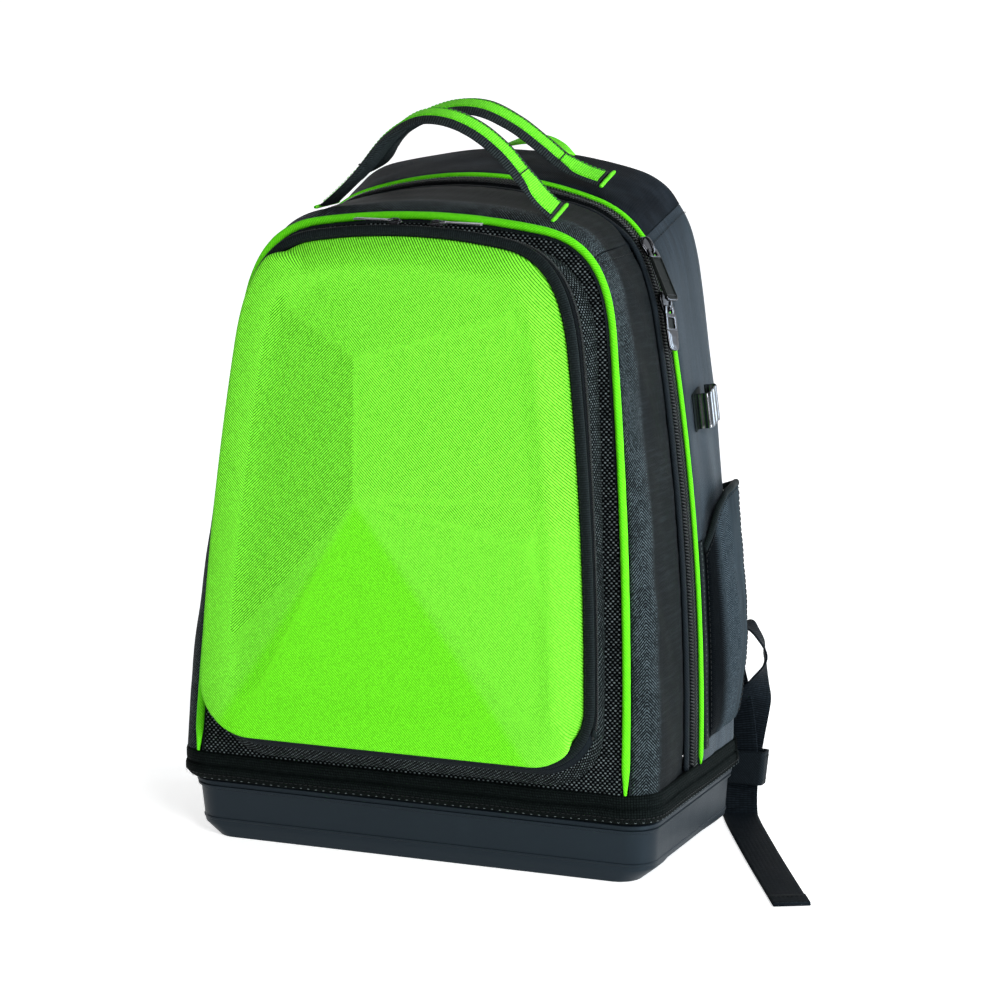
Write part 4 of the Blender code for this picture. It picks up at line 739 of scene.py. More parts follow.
    # tray: satin moulding with a fine spark-eroded grain; soft upright streaks lighten its colour as painted highlights
    # and vary its roughness
    m = Mat("tray_plastic", 0.50, 0.24)
    m.b.inputs["Specular Tint"].default_value = (0.60, 0.81, 1.0, 1.0)
    grain = m.noise(2600.0, 2.0, 0.6)
    big = m.noise(9.0, 4.0, 0.6)
    rub_and_sheen = m.noise(60.0, 4.0, 0.65, squeeze=(1.0, 1.0, 0.25))
    col = m.colour(m.f("MULTIPLY_ADD", big, 0.6, m.f("MULTIPLY", m.smooth(rub_and_sheen, 0.55, 0.75), 0.25), clamp=True), (0.0046, 0.0070, 0.0095), (0.0090, 0.0132, 0.0172))
    M["tray"] = m.done(col, m.f("MULTIPLY_ADD", rub_and_sheen, 0.12, 0.42), grain, 0.05)
    m = Mat("coil_plastic", 0.34, 0.30)
    M["coil"] = m.done(m.colour(m.noise(60.0), (0.0022, 0.0028, 0.0030), (0.012, 0.014, 0.015)), m.f("MULTIPLY_ADD", m.noise(300.0), 0.2, 0.24))
    M["zip_tape"] = cloth("zip_tape", "twill", 2.0, (0.0006, 0.0009, 0.0010), (0.005, 0.0065, 0.0075), 0.75, 0.05, 0.2)
    m = Mat("dark_nickel", 0.20, 0.5, metal=1.0)
    n = m.noise(120.0, 4.0, 0.6)
    M["nickel"] = m.done(m.colour(n, (0.035, 0.037, 0.042), (0.115, 0.118, 0.130)), m.f("MULTIPLY_ADD", n, 0.16, 0.12), m.noise(500.0, 2.0), 0.05)
    m = Mat("bright_nickel", 0.22, 0.5, metal=1.0)
    n = m.noise(120.0, 4.0, 0.6)
    M["clip_metal"] = m.done(m.colour(n, (0.085, 0.088, 0.095), (0.165, 0.170, 0.180)), m.f("MULTIPLY_ADD", n, 0.16, 0.16), m.noise(500.0, 2.0), 0.04)
    m = Mat("silver_pull", 0.2, 0.5, metal=1.0)
    n = m.noise(200.0, 3.0)
    M["silver"] = m.done(m.colour(n, (0.12, 0.125, 0.135), (0.30, 0.305, 0.32)), m.f("MULTIPLY_ADD", n, 0.2, 0.14))
    m = Mat("black_coated_metal", 0.45, 0.10)
    n = m.noise(300.0, 3.0)
    M["coated"] = m.done(m.colour(n, (0.0022, 0.0032, 0.0030), (0.0065, 0.0085, 0.0080)), m.f("MULTIPLY_ADD", n, 0.15, 0.40), m.noise(1500.0), 0.03)
    m = Mat("buckle_plastic", 0.34, 0.25)
    n = m.noise(250.0, 3.0)
    M["buckle"] = m.done(m.colour(n, (0.003, 0.004, 0.005), (0.008, 0.010, 0.011)), m.f("MULTIPLY_ADD", n, 0.15, 0.28), m.noise(1800.0), 0.03)
    return M


MATS = make_materials()

# ---------------------------------------------------------------- mesh making


def finish_piece(ob, reps, body_name):
    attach(ob, body_name)
    if reps:
        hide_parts(*reps)
    return ob


def build(name, co, faces, uvs, mats, picks=None, reps=(), slot=None, body_name="pack", sharp=None, smooth=True):
    """co: points in mm; faces: index tuples; uvs: one (u, v) for each face corner."""
    mesh = bpy.data.meshes.new(name)
    mesh.from_pydata([(float(p[0]) * MM, float(p[1]) * MM, float(p[2]) * MM) for p in co], [], faces)
    layer = mesh.uv_layers.new(name="UVMap")
    layer.data.foreach_set("uv", np.array([c for f in uvs for p in f for c in p], dtype=np.float32))
    mats = mats if isinstance(mats, (list, tuple)) else [mats]
    for m in mats:
        mesh.materials.append(MATS[m] if isinstance(m, str) else m)
    if picks is not None:
        mesh.polygons.foreach_set("material_index", picks)
    mesh.polygons.foreach_set("use_smooth", [smooth] * len(mesh.polygons))
    mesh.update()
    if sharp is not None:
        mesh.set_sharp_from_angle(angle=math.radians(sharp))
    ob = bpy.data.objects.new(name, mesh)
    bpy.context.scene.collection.objects.link(ob)
    return finish_piece(ob, reps, body_name)


def grid(name, rows, mats, closed=False, caps=False, loop=False, inside=None, pick=None, uv_scale=1.0, v_from=None, u_from=None, **kw):
    """A sheet of quads through rows of points. closed: rows are rings. loop: the
    last row joins the first. Its UVs are distances on the surface in mm."""
    co = np.array([[tuple(p) for p in r] for r in rows], dtype=float)
    R, C = co.shape[:2]
    ext = np.concatenate([co, co[:, :1]], axis=1) if closed else co
    du = np.linalg.norm(np.diff(ext, axis=1), axis=2)
    U = np.concatenate([np.zeros((R, 1)), np.cumsum(du, axis=1)], axis=1)
    if u_from is not None:
        U = U - U[:, u_from:u_from + 1]
    ext2 = np.concatenate([co, co[:1]], axis=0) if loop else co
    dv = np.linalg.norm(np.diff(ext2, axis=0), axis=2).mean(axis=1)
    V = np.concatenate([[0.0], np.cumsum(dv)])
    if v_from is not None:
        V = V - V[v_from]
    faces, uvs, picks = [], [], []
    nr = R if loop else R - 1
    nc = C if closed else C - 1
    for i in range(nr):
        i2 = (i + 1) % R
        for j in range(nc):
            j2 = (j + 1) % C
            faces.append((i * C + j, i * C + j2, i2 * C + j2, i2 * C + j))
            u2 = U[i2] if i2 else U[0]
            uvs.append(((U[i, j], V[i]), (U[i, j + 1], V[i]), (u2[j + 1], V[i + 1]), (u2[j], V[i + 1])))
            picks.append(pick(i, j) if pick else 0)
    flat = co.reshape(-1, 3)
    a, b, c, d = (flat[[f[k] for f in faces]] for k in range(4))
    nrm = np.cross(c - a, d - b)
    mid = (a + b + c + d) / 4
    if inside is None and closed:
        ref = np.repeat(co.mean(axis=1)[:nr], nc, axis=0)
    elif inside is None:
        ref = np.array([[0.0, 0.0, 230.0]])
    else:
        ref = np.array([inside], dtype=float)
    if (nrm * (mid - ref)).sum() < 0:
        faces = [tuple(reversed(f)) for f in faces]
        uvs = [tuple(reversed(f)) for f in uvs]
    if closed and caps:
        sgn = 1 if (nrm * (mid - ref)).sum() >= 0 else -1
        for r, row in ((0, tuple(range(C))), (R - 1, tuple(reversed(range((R - 1) * C, R * C))))):
            f = row if sgn < 0 else tuple(reversed(row))
            faces.append(f)
            uvs.append(tuple((U[r, k % C], V[min(r, len(V) - 1)]) for k in f))
            picks.append(0)
    return build(name, flat, faces, uvs, mats, picks, **kw)


def n3(p, kx, ky, kz, seed=0.0):
    return noise.noise(Vector((p[0] * kx + seed * 7.3, p[1] * ky + seed * 3.1, p[2] * kz - seed * 5.7)))


def frames_on(rows, per, t0=0.0, t1=None, floor=True):
    """Places, tangents, width directions, normals and sizes along a ribbon table."""
    last = len(rows) - 1
    t1 = float(last) if t1 is None else t1
    n = max(2, int((t1 - t0) * per))
    out = []
    for i in range(n + 1):
        t = lerp(t0, t1, i / n)
        v = catmull(rows, t)
        a, b = catmull(rows, max(0.0, t - 0.02)), catmull(rows, min(float(last), t + 0.02))
        tan = (Vector(b[:3]) - Vector(a[:3])).normalized()
        w = Vector(v[3:6])
        w = (w - tan * w.dot(tan)).normalized()
        nrm = tan.cross(w)
        p = Vector(v[:3])
        if floor and p.z < 3.0:
            w = Vector((w.x, w.y, 0.0)).normalized()
            nrm = Vector((0.0, 0.0, 1.0)) if nrm.z > 0 else Vector((0.0, 0.0, -1.0))
            p.z = max(p.z, v[7] / 2 + 0.15)
        out.append((p, tan, w, nrm, v[6], v[7], t))
    return out


def rounded_strip(w, t, n_flat=8, n_round=4, crown=0.0):
    """Closed profile of a strap: flat faces with rounded rims."""
    r = t / 2
    pts = []
    for i in range(n_flat + 1):
        x = lerp(-w / 2 + r, w / 2 - r, i / n_flat)
        pts.append((x, -r - crown * (1 - (2 * x / w) ** 2)))
    for i in range(1, n_round):
        a = -math.pi / 2 + math.pi * i / n_round
        pts.append((w / 2 - r + r * math.cos(a), r * math.sin(a)))
    for i in range(n_flat + 1):
        x = lerp(w / 2 - r, -w / 2 + r, i / n_flat)
        pts.append((x, r + crown * (1 - (2 * x / w) ** 2)))
    for i in range(1, n_round):
        a = math.pi / 2 + math.pi * i / n_round
        pts.append((-w / 2 + r + r * math.cos(a), r * math.sin(a)))
    return pts


class Stitches:
    """Short raised threads gathered into one mesh."""

    def __init__(self, name, mat="thread"):
        self.name, self.mat = name, mat
        self.co, self.faces = [], []

    def add(self, p, d, n, length=2.8, r=0.32):
        s = d.cross(n).normalized()
        base = len(self.co)
        for f, k, up in ((-0.5, 0.45, -0.35), (-0.25, 1.0, 0.10), (0.25, 1.0, 0.10), (0.5, 0.45, -0.35)):
            for j in range(5):
                a = 2 * math.pi * j / 5
                self.co.append(p + d * (length * f) + s * (math.cos(a) * r * k) + n * (math.sin(a) * r * k + up * r))
        for i in range(3):
            for j in range(5):
                a, b = base + i * 5 + j, base + i * 5 + (j + 1) % 5
                self.faces.append((a, b, b + 5, a + 5))
        self.faces.append(tuple(base + j for j in reversed(range(5))))
        self.faces.append(tuple(base + 15 + j for j in range(5)))

    def line(self, pts, nrms, pitch=4.0, length=2.8, r=0.32):
        """Stitches at an even pitch along a line of points with normals."""
        acc = pitch / 2
        for a, b, na, nb in zip(pts, pts[1:], nrms, nrms[1:]):
            seg = (b - a).length
            if seg < 1e-6:
                continue
            d = (b - a) / seg
            while acc <= seg:
                f = acc / seg
                self.add(a.lerp(b, f), d, na.lerp(nb, f).normalized(), length, r)
                acc += pitch
            acc -= seg

    def build(self, **kw):
        if not self.faces:
            return None
        return build(self.name, self.co, self.faces, [[(0.0, 0.0)] * len(f) for f in self.faces], self.mat, **kw)


THREAD = Stitches("seam_stitches")
THREAD_GREEN = Stitches("green_stitches", "green_cord")
THREAD_GREY = Stitches("band_stitches", "grey_thread")


def plate(name, outline, z0, z1, fr, mat, hole=None, r=0.5, steps=3, centre=None, **kw):
    """A flat plate with rounded edges. outline and hole are equal-length point
    loops, anticlockwise; fr(a, b, c) puts them in space."""
    loops = []

    def rim(pts, sign):
        out = []
        for i in range(steps + 1):
            a = math.pi / 2 * i / steps
            out.append((offset_loop(pts, sign * -r * (1 - math.sin(a))), z1 - r * (1 - math.cos(a))))
        for i in range(steps + 1):
            a = math.pi / 2 * i / steps
            out.append((offset_loop(pts, sign * -r * (1 - math.cos(a))), z0 + r * (1 - math.sin(a))))
        return out

    outline = list(reversed(outline))
    for pts, z in rim(outline, 1.0):
        loops.append([fr(a, b, z) for a, b in pts])
    if hole is None:
        top = Vector((0, 0, 0))
        for end in (0, -1):
            pts = loops[end]
            c = sum(pts, Vector((0, 0, 0))) / len(pts)
            mids = [[c.lerp(p, k) for p in pts] for k in (0.5, 0.02)]
            if end == 0:
                loops = [mids[1], mids[0]] + loops
            else:
                loops = loops + mids
        return grid(name, loops, mat, closed=True, caps=True, inside=tuple(sum((sum(l, Vector((0, 0, 0))) / len(l) for l in loops), Vector((0, 0, 0))) / len(loops)), sharp=50, **kw)
    hole = list(reversed(hole))
    for pts, z in reversed(rim(hole, -1.0)):
        loops.append([fr(a, b, z) for a, b in pts])
    mid = sum((sum(l, Vector((0, 0, 0))) / len(l) for l in loops), Vector((0, 0, 0))) / len(loops)
    ob = grid(name, loops, mat, closed=True, loop=True, inside=tuple(mid), sharp=50, **kw)
    return ob


def rect_loop(x0, x1, y0, y1, r, n=8, taper=0.0):
    """Rounded rectangle, anticlockwise, same count whatever its size."""
    pts = []
    for cx, cy, a0 in ((x1 - r, y0 + r, -90), (x1 - r, y1 - r, 0), (x0 + r, y1 - r, 90), (x0 + r, y0 + r, 180)):
        for i in range(n + 1):
            a = math.radians(a0 + 90.0 * i / n)
            x, y = cx + r * math.cos(a), cy + r * math.sin(a)
            k = 1.0 - taper * (x - x0) / max(1e-6, x1 - x0)
            pts.append((x, y * k))
    return pts

# ---------------------------------------------------------------- sewn body

HI_LEFT = arch_us(50, 26, 30, 0.0, LEFT_HI)
HI_TOP = arch_us(50, 30, 44, TOP_LO, TOP_HI)
HI_RIGHT = arch_us(50, 26, 30, RIGHT_LO, 1.0)
HI_ALL = arch_us(60, 44, 44)


def sewn_strip(name, us, line0, line1, n_s, mat, lift, slot, ends=(True, True)):
    rows = []
    last = len(us) - 1
    for i, u in enumerate(us):
        s0, s1 = along(u, line0), along(u, line1)
        row = []
        for j in range(n_s + 1):
            f = j / n_s
            p, _, n = body_frame(u, lerp(s0, s1, f))
            row.append(p + n * (CLOTH / 2 + lift(u, f, p, i, last)))
        p0, _, n0 = body_frame(u, s0)
        p1, _, n1 = body_frame(u, s1)
        rows.append([p0 + n0 * -2.0] + row + [p1 + n1 * -2.0])
    return grid(name, rows, mat, reps=(name,), slot=slot, u_from=1)


def edge_dip(f, w=0.06):
    """Seam: the cloth turns in at both edges of a strip."""
    k = min(f, 1 - f) / w
    return -1.1 * (1 - min(1.0, k)) ** 2


def front_lift(u, f, p, i, last):
    w = math.sin(math.pi * f)
    fold = n3((p.z * 0.8 + p.y * 1.7, 0, p.z * 0.3 - p.y * 0.5), 0.022, 1, 0.008, 1.0)
    fold2 = n3(p, 0.02, 0.05, 0.018, 2.0)
    puck = n3(p, 0.16, 0.10, 0.16, 3.0) * (math.exp(-f * 9) + math.exp(-(1 - f) * 9))
    end = min(i, last - i) / 6.0
    seam = -0.9 * max(0.0, 1 - end) ** 2
    return edge_dip(f) + w * (1.1 + 1.9 * fold + 0.8 * fold2) + 0.45 * puck + seam


def rear_lift(u, f, p, i, last):
    w = math.sin(math.pi * f) ** 0.7
    fold = n3(p, 0.02, 0.045, 0.006, 5.0)
    fold2 = n3((p.x, p.y + 0.25 * p.z, p.z), 0.02, 0.03, 0.016, 6.0)
    puck = n3(p, 0.14, 0.10, 0.14, 7.0) * (math.exp(-f * 10) + math.exp(-(1 - f) * 10))
    end = min(i, last - i) / 6.0
    seam = -0.9 * max(0.0, 1 - end) ** 2
    return edge_dip(f) + w * (0.9 + 1.5 * fold + 1.1 * fold2) + 0.45 * puck + seam


for side, us in (("left", HI_LEFT), ("top", HI_TOP), ("right", HI_RIGHT)):
    sewn_strip("front_gusset_" + side, us, FRONT_EDGE, FRONT_BACK, 30, "front_gusset", front_lift, "smooth_nylon")
    # the top strip takes the darker copy of the rear cloth, painted shade
    sewn_strip("rear_gusset_" + side, us, REAR_EDGE, REAR_BACK, 34, "rear_top" if side == "top" else "rear_gusset", rear_lift, "grey_nylon")


for tag, us, line0, line1 in (("front_left", (LEFT_HI, TOP_LO), FRONT_EDGE, FRONT_BACK), ("front_right", (TOP_HI, RIGHT_LO), FRONT_EDGE, FRONT_BACK),
                              ("rear_left", (LEFT_HI, TOP_LO), REAR_EDGE, REAR_BACK), ("rear_right", (TOP_HI, RIGHT_LO), REAR_EDGE, REAR_BACK)):
    mid_u = (us[0] + us[1]) / 2
    rows = []
    for k in range(7):
        u = mid_u + lerp(-0.008, 0.008, k / 6)
        row = []
        for j in range(25):
            p, _, n = body_frame(u, lerp(along(u, line0), along(u, line1), j / 24))
            row.append(p + n * (CLOTH / 2 - 1.15 - 0.35 * abs(k - 3)))
        rows.append(row)
    grid("seam_tape_" + tag, rows, "plain_black", slot="binding")
    nr, pts = [], []
    u = mid_u + 0.0075 * (1 if "right" in tag else -1)
    for j in range(25):
        f = lerp(0.04, 0.96, j / 24)
        p, _, n = body_frame(u, lerp(along(u, line0), along(u, line1), f))
        lift = (front_lift if "front" in tag else rear_lift)(u, f, p, 9, 20)
        pts.append(p + n * (CLOTH / 2 + lift + 0.1))
        nr.append(n)
    THREAD.line(pts, nr, 3.2, 2.3, 0.26)


def cord_rows(us, line, r, out, n=16, taper=26.0, squash=1.0):
    rows = []
    for i, u in enumerate(us):
        p, d, nn = body_frame(u, along(u, line))
        z = p.z - BODY_Z0
        k = min(1.0, max(0.0, 0.35 + z / taper)) if p.z < 120 else 1.0
        rr = r * k * (1.0 + 0.05 * n3(p, 0.12, 0.12, 0.12, 11.0))
        rows.append([p + d * (rr * math.cos(2 * math.pi * j / n) * squash) + nn * (out + rr * math.sin(2 * math.pi * j / n)) for j in range(n)])
    return rows


grid("front_piping", cord_rows(HI_ALL, (0, 0.0), 2.75, 1.5), "green_cord", closed=True, caps=True,
     reps=("front_piping",), slot="green_webbing")
grid("rear_piping", cord_rows(HI_ALL, (3, 0.0), 1.65, 1.0, taper=8.0), "green_cord", closed=True, caps=True,
     reps=("rear_piping",), slot="green_webbing")
# cloth tape that holds the front cord, turned in on both sides of it
for tag, a0, a1 in (("outer", 2.2, 4.6), ("inner", -1.6, -4.0)):
    rows = []
    for u in HI_ALL:
        p, d, n = body_frame(u, along(u, (0, 0.0)))
        rows.append([p + d * lerp(a0, a1, k / 3) * 1.0 + n * (-0.2 - 0.4 * k) for k in range(4)])
    grid("front_piping_tape_" + tag, rows, "binding", slot="binding")

# ---------------------------------------------------------------- main zip
rows = []
for u in HI_ALL:
    p, d, n = body_frame(u, along(u, (3, -8.6)))
    rows.append([p + d * a + n * b for a, b in ((-6.4, -1.2), (-6.2, 0.3), (-5.0, 0.7), (-4.0, 0.55), (-2.2, 0.4), (0.0, 0.3), (2.2, 0.4), (4.0, 0.55), (5.0, 0.7), (6.2, 0.3), (6.4, -1.2))])
grid("main_zip_tape", rows, "zip_tape", reps=("main_zip",), slot="coil_zip")


def even_points(line, step, lo=0.0, hi=1.0, n=1400):
    """Places on a body line at an even spacing in mm."""
    us = [lerp(lo, hi, i / n) for i in range(n + 1)]
    pts = [body(u, along(u, line)) for u in us]
    out, acc = [], 0.0
    for i in range(n):
        seg = (pts[i + 1] - pts[i]).length
        while acc <= seg:
            out.append(lerp(us[i], us[i + 1], acc / seg))
            acc += step
        acc -= seg
    return out


def coil_teeth(name, places, half, pitch, r, rise, lean, **kw):
    """Two rows of coil turns that lock in a chevron. places: (point, along,
    across, out) for each pitch."""
    co, faces, k = [], [], 7
    for p, t, a, n in places:
        for s in (-1.0, 1.0):
            shift = 0.0 if s < 0 else 0.5 * pitch
            base = len(co)
            for f, rr, up in ((1.0, 0.45, -0.5), (0.93, 0.95, 0.0), (0.5, 1.05, 0.25), (0.05, 1.0, 0.15), (-0.12, 0.55, -0.2)):
                c = p + a * (s * half * f) + t * (shift + lean * (1 - f)) + n * (rise + up * r)
                ax = (a * s - t * (lean / half)).normalized()
                q = ax.cross(n).normalized()
                for j in range(k):
                    an = 2 * math.pi * j / k
                    co.append(c + q * (math.cos(an) * r * rr) + n * (math.sin(an) * r * rr * 1.15))
            for i in range(4):
                for j in range(k):
                    x, y = base + i * k + j, base + i * k + (j + 1) % k
                    faces.append((x, y, y + k, x + k))
            faces.append(tuple(base + j for j in reversed(range(k))))
            faces.append(tuple(base + 4 * k + j for j in range(k)))
    return build(name, co, faces, [[(0.0, 0.0)] * len(f) for f in faces], "coil", slot="coil_zip", **kw)


places = []
for u in even_points((3, -9.4), 2.2, 0.001, 0.999):
    p, d, n = body_frame(u, along(u, (3, -9.4)))
    q = body_frame(min(1.0, u + 0.002), along(min(1.0, u + 0.002), (3, -9.4)))[0]
    places.append((p, (q - p).normalized() if (q - p).length > 1e-6 else d.cross(n), d, n))
coil_teeth("main_zip_coil", places, 4.1, 2.2, 0.64, 1.25, 1.9)



def smooth_share(x):
    x = max(0.0, min(1.0, x))
    return x * x * (3 - 2 * x)


# rolled flap beside the zip
rows = []
for i, u in enumerate(HI_ALL):
    p, d, n = body_frame(u, along(u, (3, -18.8)))
    flat = smooth_share((n.z - 0.55) / 0.35)
    p = p - n * (2.3 * flat) - d * (1.2 * flat)
    wob = 0.35 * n3(p, 0.05, 0.05, 0.03, 21.0)
    ring = []
    for j in range(18):
        a = 2 * math.pi * j / 18
        ring.append(p + d * (math.cos(a) * (3.15 + wob * 0.4) + wob * 0.8) + n * (1.25 + math.sin(a) * (2.0 + wob * 0.6)))
    rows.append(ring)
grid("zip_flap_roll", rows, "plain_black", closed=True, caps=True, reps=("zip_flap",), slot="binding")
for off in (-3.6,):
    pts, nr = [], []
    for u in HI_ALL:
        p, d, n = body_frame(u, along(u, (3, -24.5)))
        pts.append(p + n * (CLOTH / 2 + 0.1))
        nr.append(n)

# ---------------------------------------------------------------- flat panels


def panel_outline(row, inset, us):
    pts = []
    for u in us:
        v = 2 * u if u <= 0.5 else 2 * (1 - u)
        x, z = arch_xz(row, v)
        x = -x if u <= 0.5 else x
        t = max(0.0, (z - 50.0) / 400.0)
        pts.append((x + row[9] * t * t, z))
    n = len(pts)
    ring = []
    for i in range(n):
        a, b = pts[max(0, i - 1)], pts[min(n - 1, i + 1)]
        dx, dz = b[0] - a[0], b[1] - a[1]
        ln = math.hypot(dx, dz)
        ring.append((pts[i][0] + dz / ln * inset, pts[i][1] - dx / ln * inset))
    ring[0] = (ring[0][0], BODY_Z0 - 3.0)
    ring[-1] = (ring[-1][0], BODY_Z0 - 3.0)
    low = [(lerp(ring[-1][0], ring[0][0], i / 60), BODY_Z0 - 3.0) for i in range(1, 60)]
    return ring + low


def end_panel(name, row, mat, sign, slot, us):
    """Flat panel with a shallow crown, its weave laid level."""
    rings = []
    out = panel_outline(row, 2.0, us)
    cx, cz = 0.0, 235.0
    for k, (f, h) in enumerate(((1.0, -2.2), (0.997, -0.2), (0.985, 0.9), (0.965, 1.3), (0.93, 1.5), (0.88, 1.6), (0.8, 1.8), (0.65, 2.0), (0.4, 2.0), (0.02, 2.0))):
        ring = []
        for x, z in out:
            xx, zz = cx + (x - cx) * f, cz + (z - cz) * f
            w = 0.6 * noise.noise(Vector((xx * 0.03, zz * 0.02, 4.0 + sign))) + 0.35 * noise.noise(Vector((xx * 0.14, zz * 0.14, 9.0))) * math.exp(-(1 - f) * 30)
            ring.append(Vector((xx, row[0] + row[1] * (zz - 80.0) + sign * (h + (w if h > 0 else 0.0)), zz)))
        rings.append(ring)
    ob = grid(name + "_cloth", rings, mat, closed=True, caps=True, inside=(0, 0, 230), reps=(name,), slot=slot)
    mesh = ob.data
    uv = mesh.uv_layers[0]
    vals = np.empty(len(mesh.loops) * 2, dtype=np.float32)
    idx = np.empty(len(mesh.loops), dtype=np.int32)
    mesh.loops.foreach_get("vertex_index", idx)
    co = np.empty(len(mesh.vertices) * 3, dtype=np.float32)
    mesh.vertices.foreach_get("co", co)
    co = co.reshape(-1, 3)[idx] / MM
    vals[0::2], vals[1::2] = co[:, 0], co[:, 2]
    uv.data.foreach_set("uv", vals)
    return ob


end_panel("front_panel", SECTIONS[0], "ballistic", -1.0, "black_nylon", HI_ALL)
end_panel("back_panel", SECTIONS[5], "ballistic_deep", 1.0, "black_nylon", HI_ALL)

# ---------------------------------------------------------------- tray and band


def loop_at(hx, y0, y1, r, z, raised, n=14):
    out = []
    stops = (-70.0, NOTCH_Y[0] - NOTCH_RUN, NOTCH_Y[0], -25.0, 0.0, 25.0, NOTCH_Y[1], NOTCH_Y[1] + NOTCH_RUN, 62.0)
    for x, y in plan_loop(hx, y0, y1, r, n, stops):
        zz = z
        if raised and NOTCH_Y[0] - 0.01 <= y <= NOTCH_Y[1] + 0.01 and abs(x) > hx - 1e-6:
            zz = max(z, NOTCH_Z + raised - 1.0)
        out.append(Vector((x, y, zz)))
    return out


def between(a, b, t):
    return [lerp(p, q, t) for p, q in zip(a, b)]


TRAY_ROWS = {z: (hx, y0, y1, r) for z, hx, y0, y1, r in TRAY_OUTER}
r0, r9, r36, r37, r42 = (TRAY_ROWS[k] for k in (0.0, 9.0, 36.0, 37.2, 42.0))
tray_loops = [loop_at(NOTCH_X, -66.0, 66.0, 12.0, 0.05, 0), loop_at(NOTCH_X + 4.0, -69.0, 69.0, 13.0, 0.05, 1.0)]
for t, z in ((-0.06, 0.05), (0.0, 0.25), (0.05, 0.75)):
    q = between(r0, r9, max(0.0, t))
    tray_loops.append(loop_at(q[0] + (t * 9 if t < 0 else 0), q[1] - (t * 3 if t < 0 else 0), q[2] + (t * 3 if t < 0 else 0), q[3], z, 1.0))
tray_loops.append(loop_at(*between(r0, r9, 0.5), 4.6, 1.5))
tray_loops.append(loop_at(*between(r0, r9, 0.93), 8.3, 2.0))
tray_loops.append(loop_at(*r9, 9.3, 2.4))
q = between(r9, r36, 0.03)
tray_loops.append(loop_at(*q, 10.4, 3.2))
# thin flange line above the raised edge
for t, z, d in ((0.10, 12.0, 0.0), (0.13, 12.5, 0.5), (0.17, 13.7, 0.5), (0.19, 14.2, 0.0), (0.5, 22.5, 0.0), (0.9, 33.3, 0.0), (0.97, 35.0, 0.0)):
    q = between(r9, r36, t)
    tray_loops.append(loop_at(q[0] + d, q[1] - d, q[2] + d, q[3], z, 0))
for (hx, y0, y1, r), z, d in ((r36, 35.5, 0.0), (r36, 35.8, 0.9), (r37, 36.2, 0.2), (r37, 37.6, 0.4), (r37, 38.2, -0.5), (r37, 39.0, -0.5), (r42, 39.4, 0.35), (r42, 41.2, 0.35), (r42, 41.9, -0.3), (r42, 42.3, -3.0)):
    tray_loops.append(loop_at(hx + d, y0 - d, y1 + d, r, z, 0))
ob = grid("base_tray_moulding", tray_loops, "tray", closed=True, caps=True, inside=(0, 0, 25), reps=("base_tray",), slot="tray_plastic", sharp=32)


def band_loop(row, d, z=None, wave=0.0):
    z0, hx, y0, y1, r = row
    pts = plan_loop(hx + d, y0 - d, y1 + d, r + d * 0.6, 16, tuple(range(-70, 71, 7)))
    # points kept along the front and back too
    full = []
    for i, (x, y) in enumerate(pts):
        x2, y2 = pts[(i + 1) % len(pts)]
        full.append((x, y))
        gap = math.hypot(x2 - x, y2 - y)
        if gap > 100:
            k = 64
            full += [(lerp(x, x2, j / k), lerp(y, y2, j / k)) for j in range(1, k)]
    out = []
    for x, y in full:
        zz = (z if z is not None else z0) + wave * (1.3 * noise.noise(Vector((x * 0.018, y * 0.018, 31.0))) + 0.5 * noise.noise(Vector((x * 0.06, y * 0.06, 37.0))))
        off = 0.35 * noise.noise(Vector((x * 0.05, y * 0.05, zz * 0.12 + 41.0)))
        ln = math.hypot(x, y) or 1.0
        out.append(Vector((x + x / ln * off, y + y / ln * off, zz)))
    return out


B_TOP, B_MID, B_LOW = BAND_TOP, BAND_MID, BAND_LOW


def band_size(z):
    if z >= 50:
        t = (z - 50.0) / 14.0
        return (z,) + tuple(lerp(a, b, t) for a, b in zip(B_MID[1:], B_TOP[1:]))
    t = (z - 42.6) / 7.4
    return (z,) + tuple(lerp(a, b, t ** 0.6) for a, b in zip(B_LOW[1:], B_MID[1:]))


loops = []
for z, d, wv in ((64.2, -3.4, 0), (64.6, -1.2, 0.2), (64.3, 0.2, 0.3), (62.5, 0.75, 0.5), (60.0, 0.7, 0.7), (57.6, 0.65, 1.0), (56.2, 0.4, 1.0), (55.5, -0.9, 1.0),
                 (54.9, -0.9, 1.0), (54.4, 0.9, 1.0), (53.0, 1.25, 0.9), (50.2, 1.25, 0.6), (47.4, 1.15, 0.5), (45.2, 0.9, 0.5), (43.9, 0.2, 0.4), (43.2, -1.2, 0.3), (43.0, -3.4, 0)):
    loops.append(band_loop(band_size(min(64.0, max(42.6, z))), d, z, wv))
grid("base_band_webbing", loops, "band", closed=True, inside=(0, 0, 52), reps=("base_band",), slot="black_webbing")
grid("base_seam_tape", [band_loop(band_size(64.0), d, z, 0) for z, d in ((58.0, -3.8), (61.0, -4.6), (64.5, -5.0), (67.0, -5.2))],
     "plain_black", closed=True, inside=(0, 0, 60), slot="binding")
for z, d in ((49.0, 1.35), (59.6, 0.85)):
    pts = band_loop(band_size(z), d, z, 0.6)
    pts = pts + pts[:1]
    nr = [Vector((p.x * 0.5, p.y, 0.0)).normalized() if abs(p.y) > 80 else Vector((math.copysign(1, p.x), 0, 0)) for p in pts]
    if z < 55:
        THREAD.line(pts, nr, 3.6, 2.5, 0.40)
        THREAD_GREY.line([p - Vector((0, 0, 2.6)) for p in pts], nr, 5.6, 1.5, 0.24)

# ---------------------------------------------------------------- front pocket


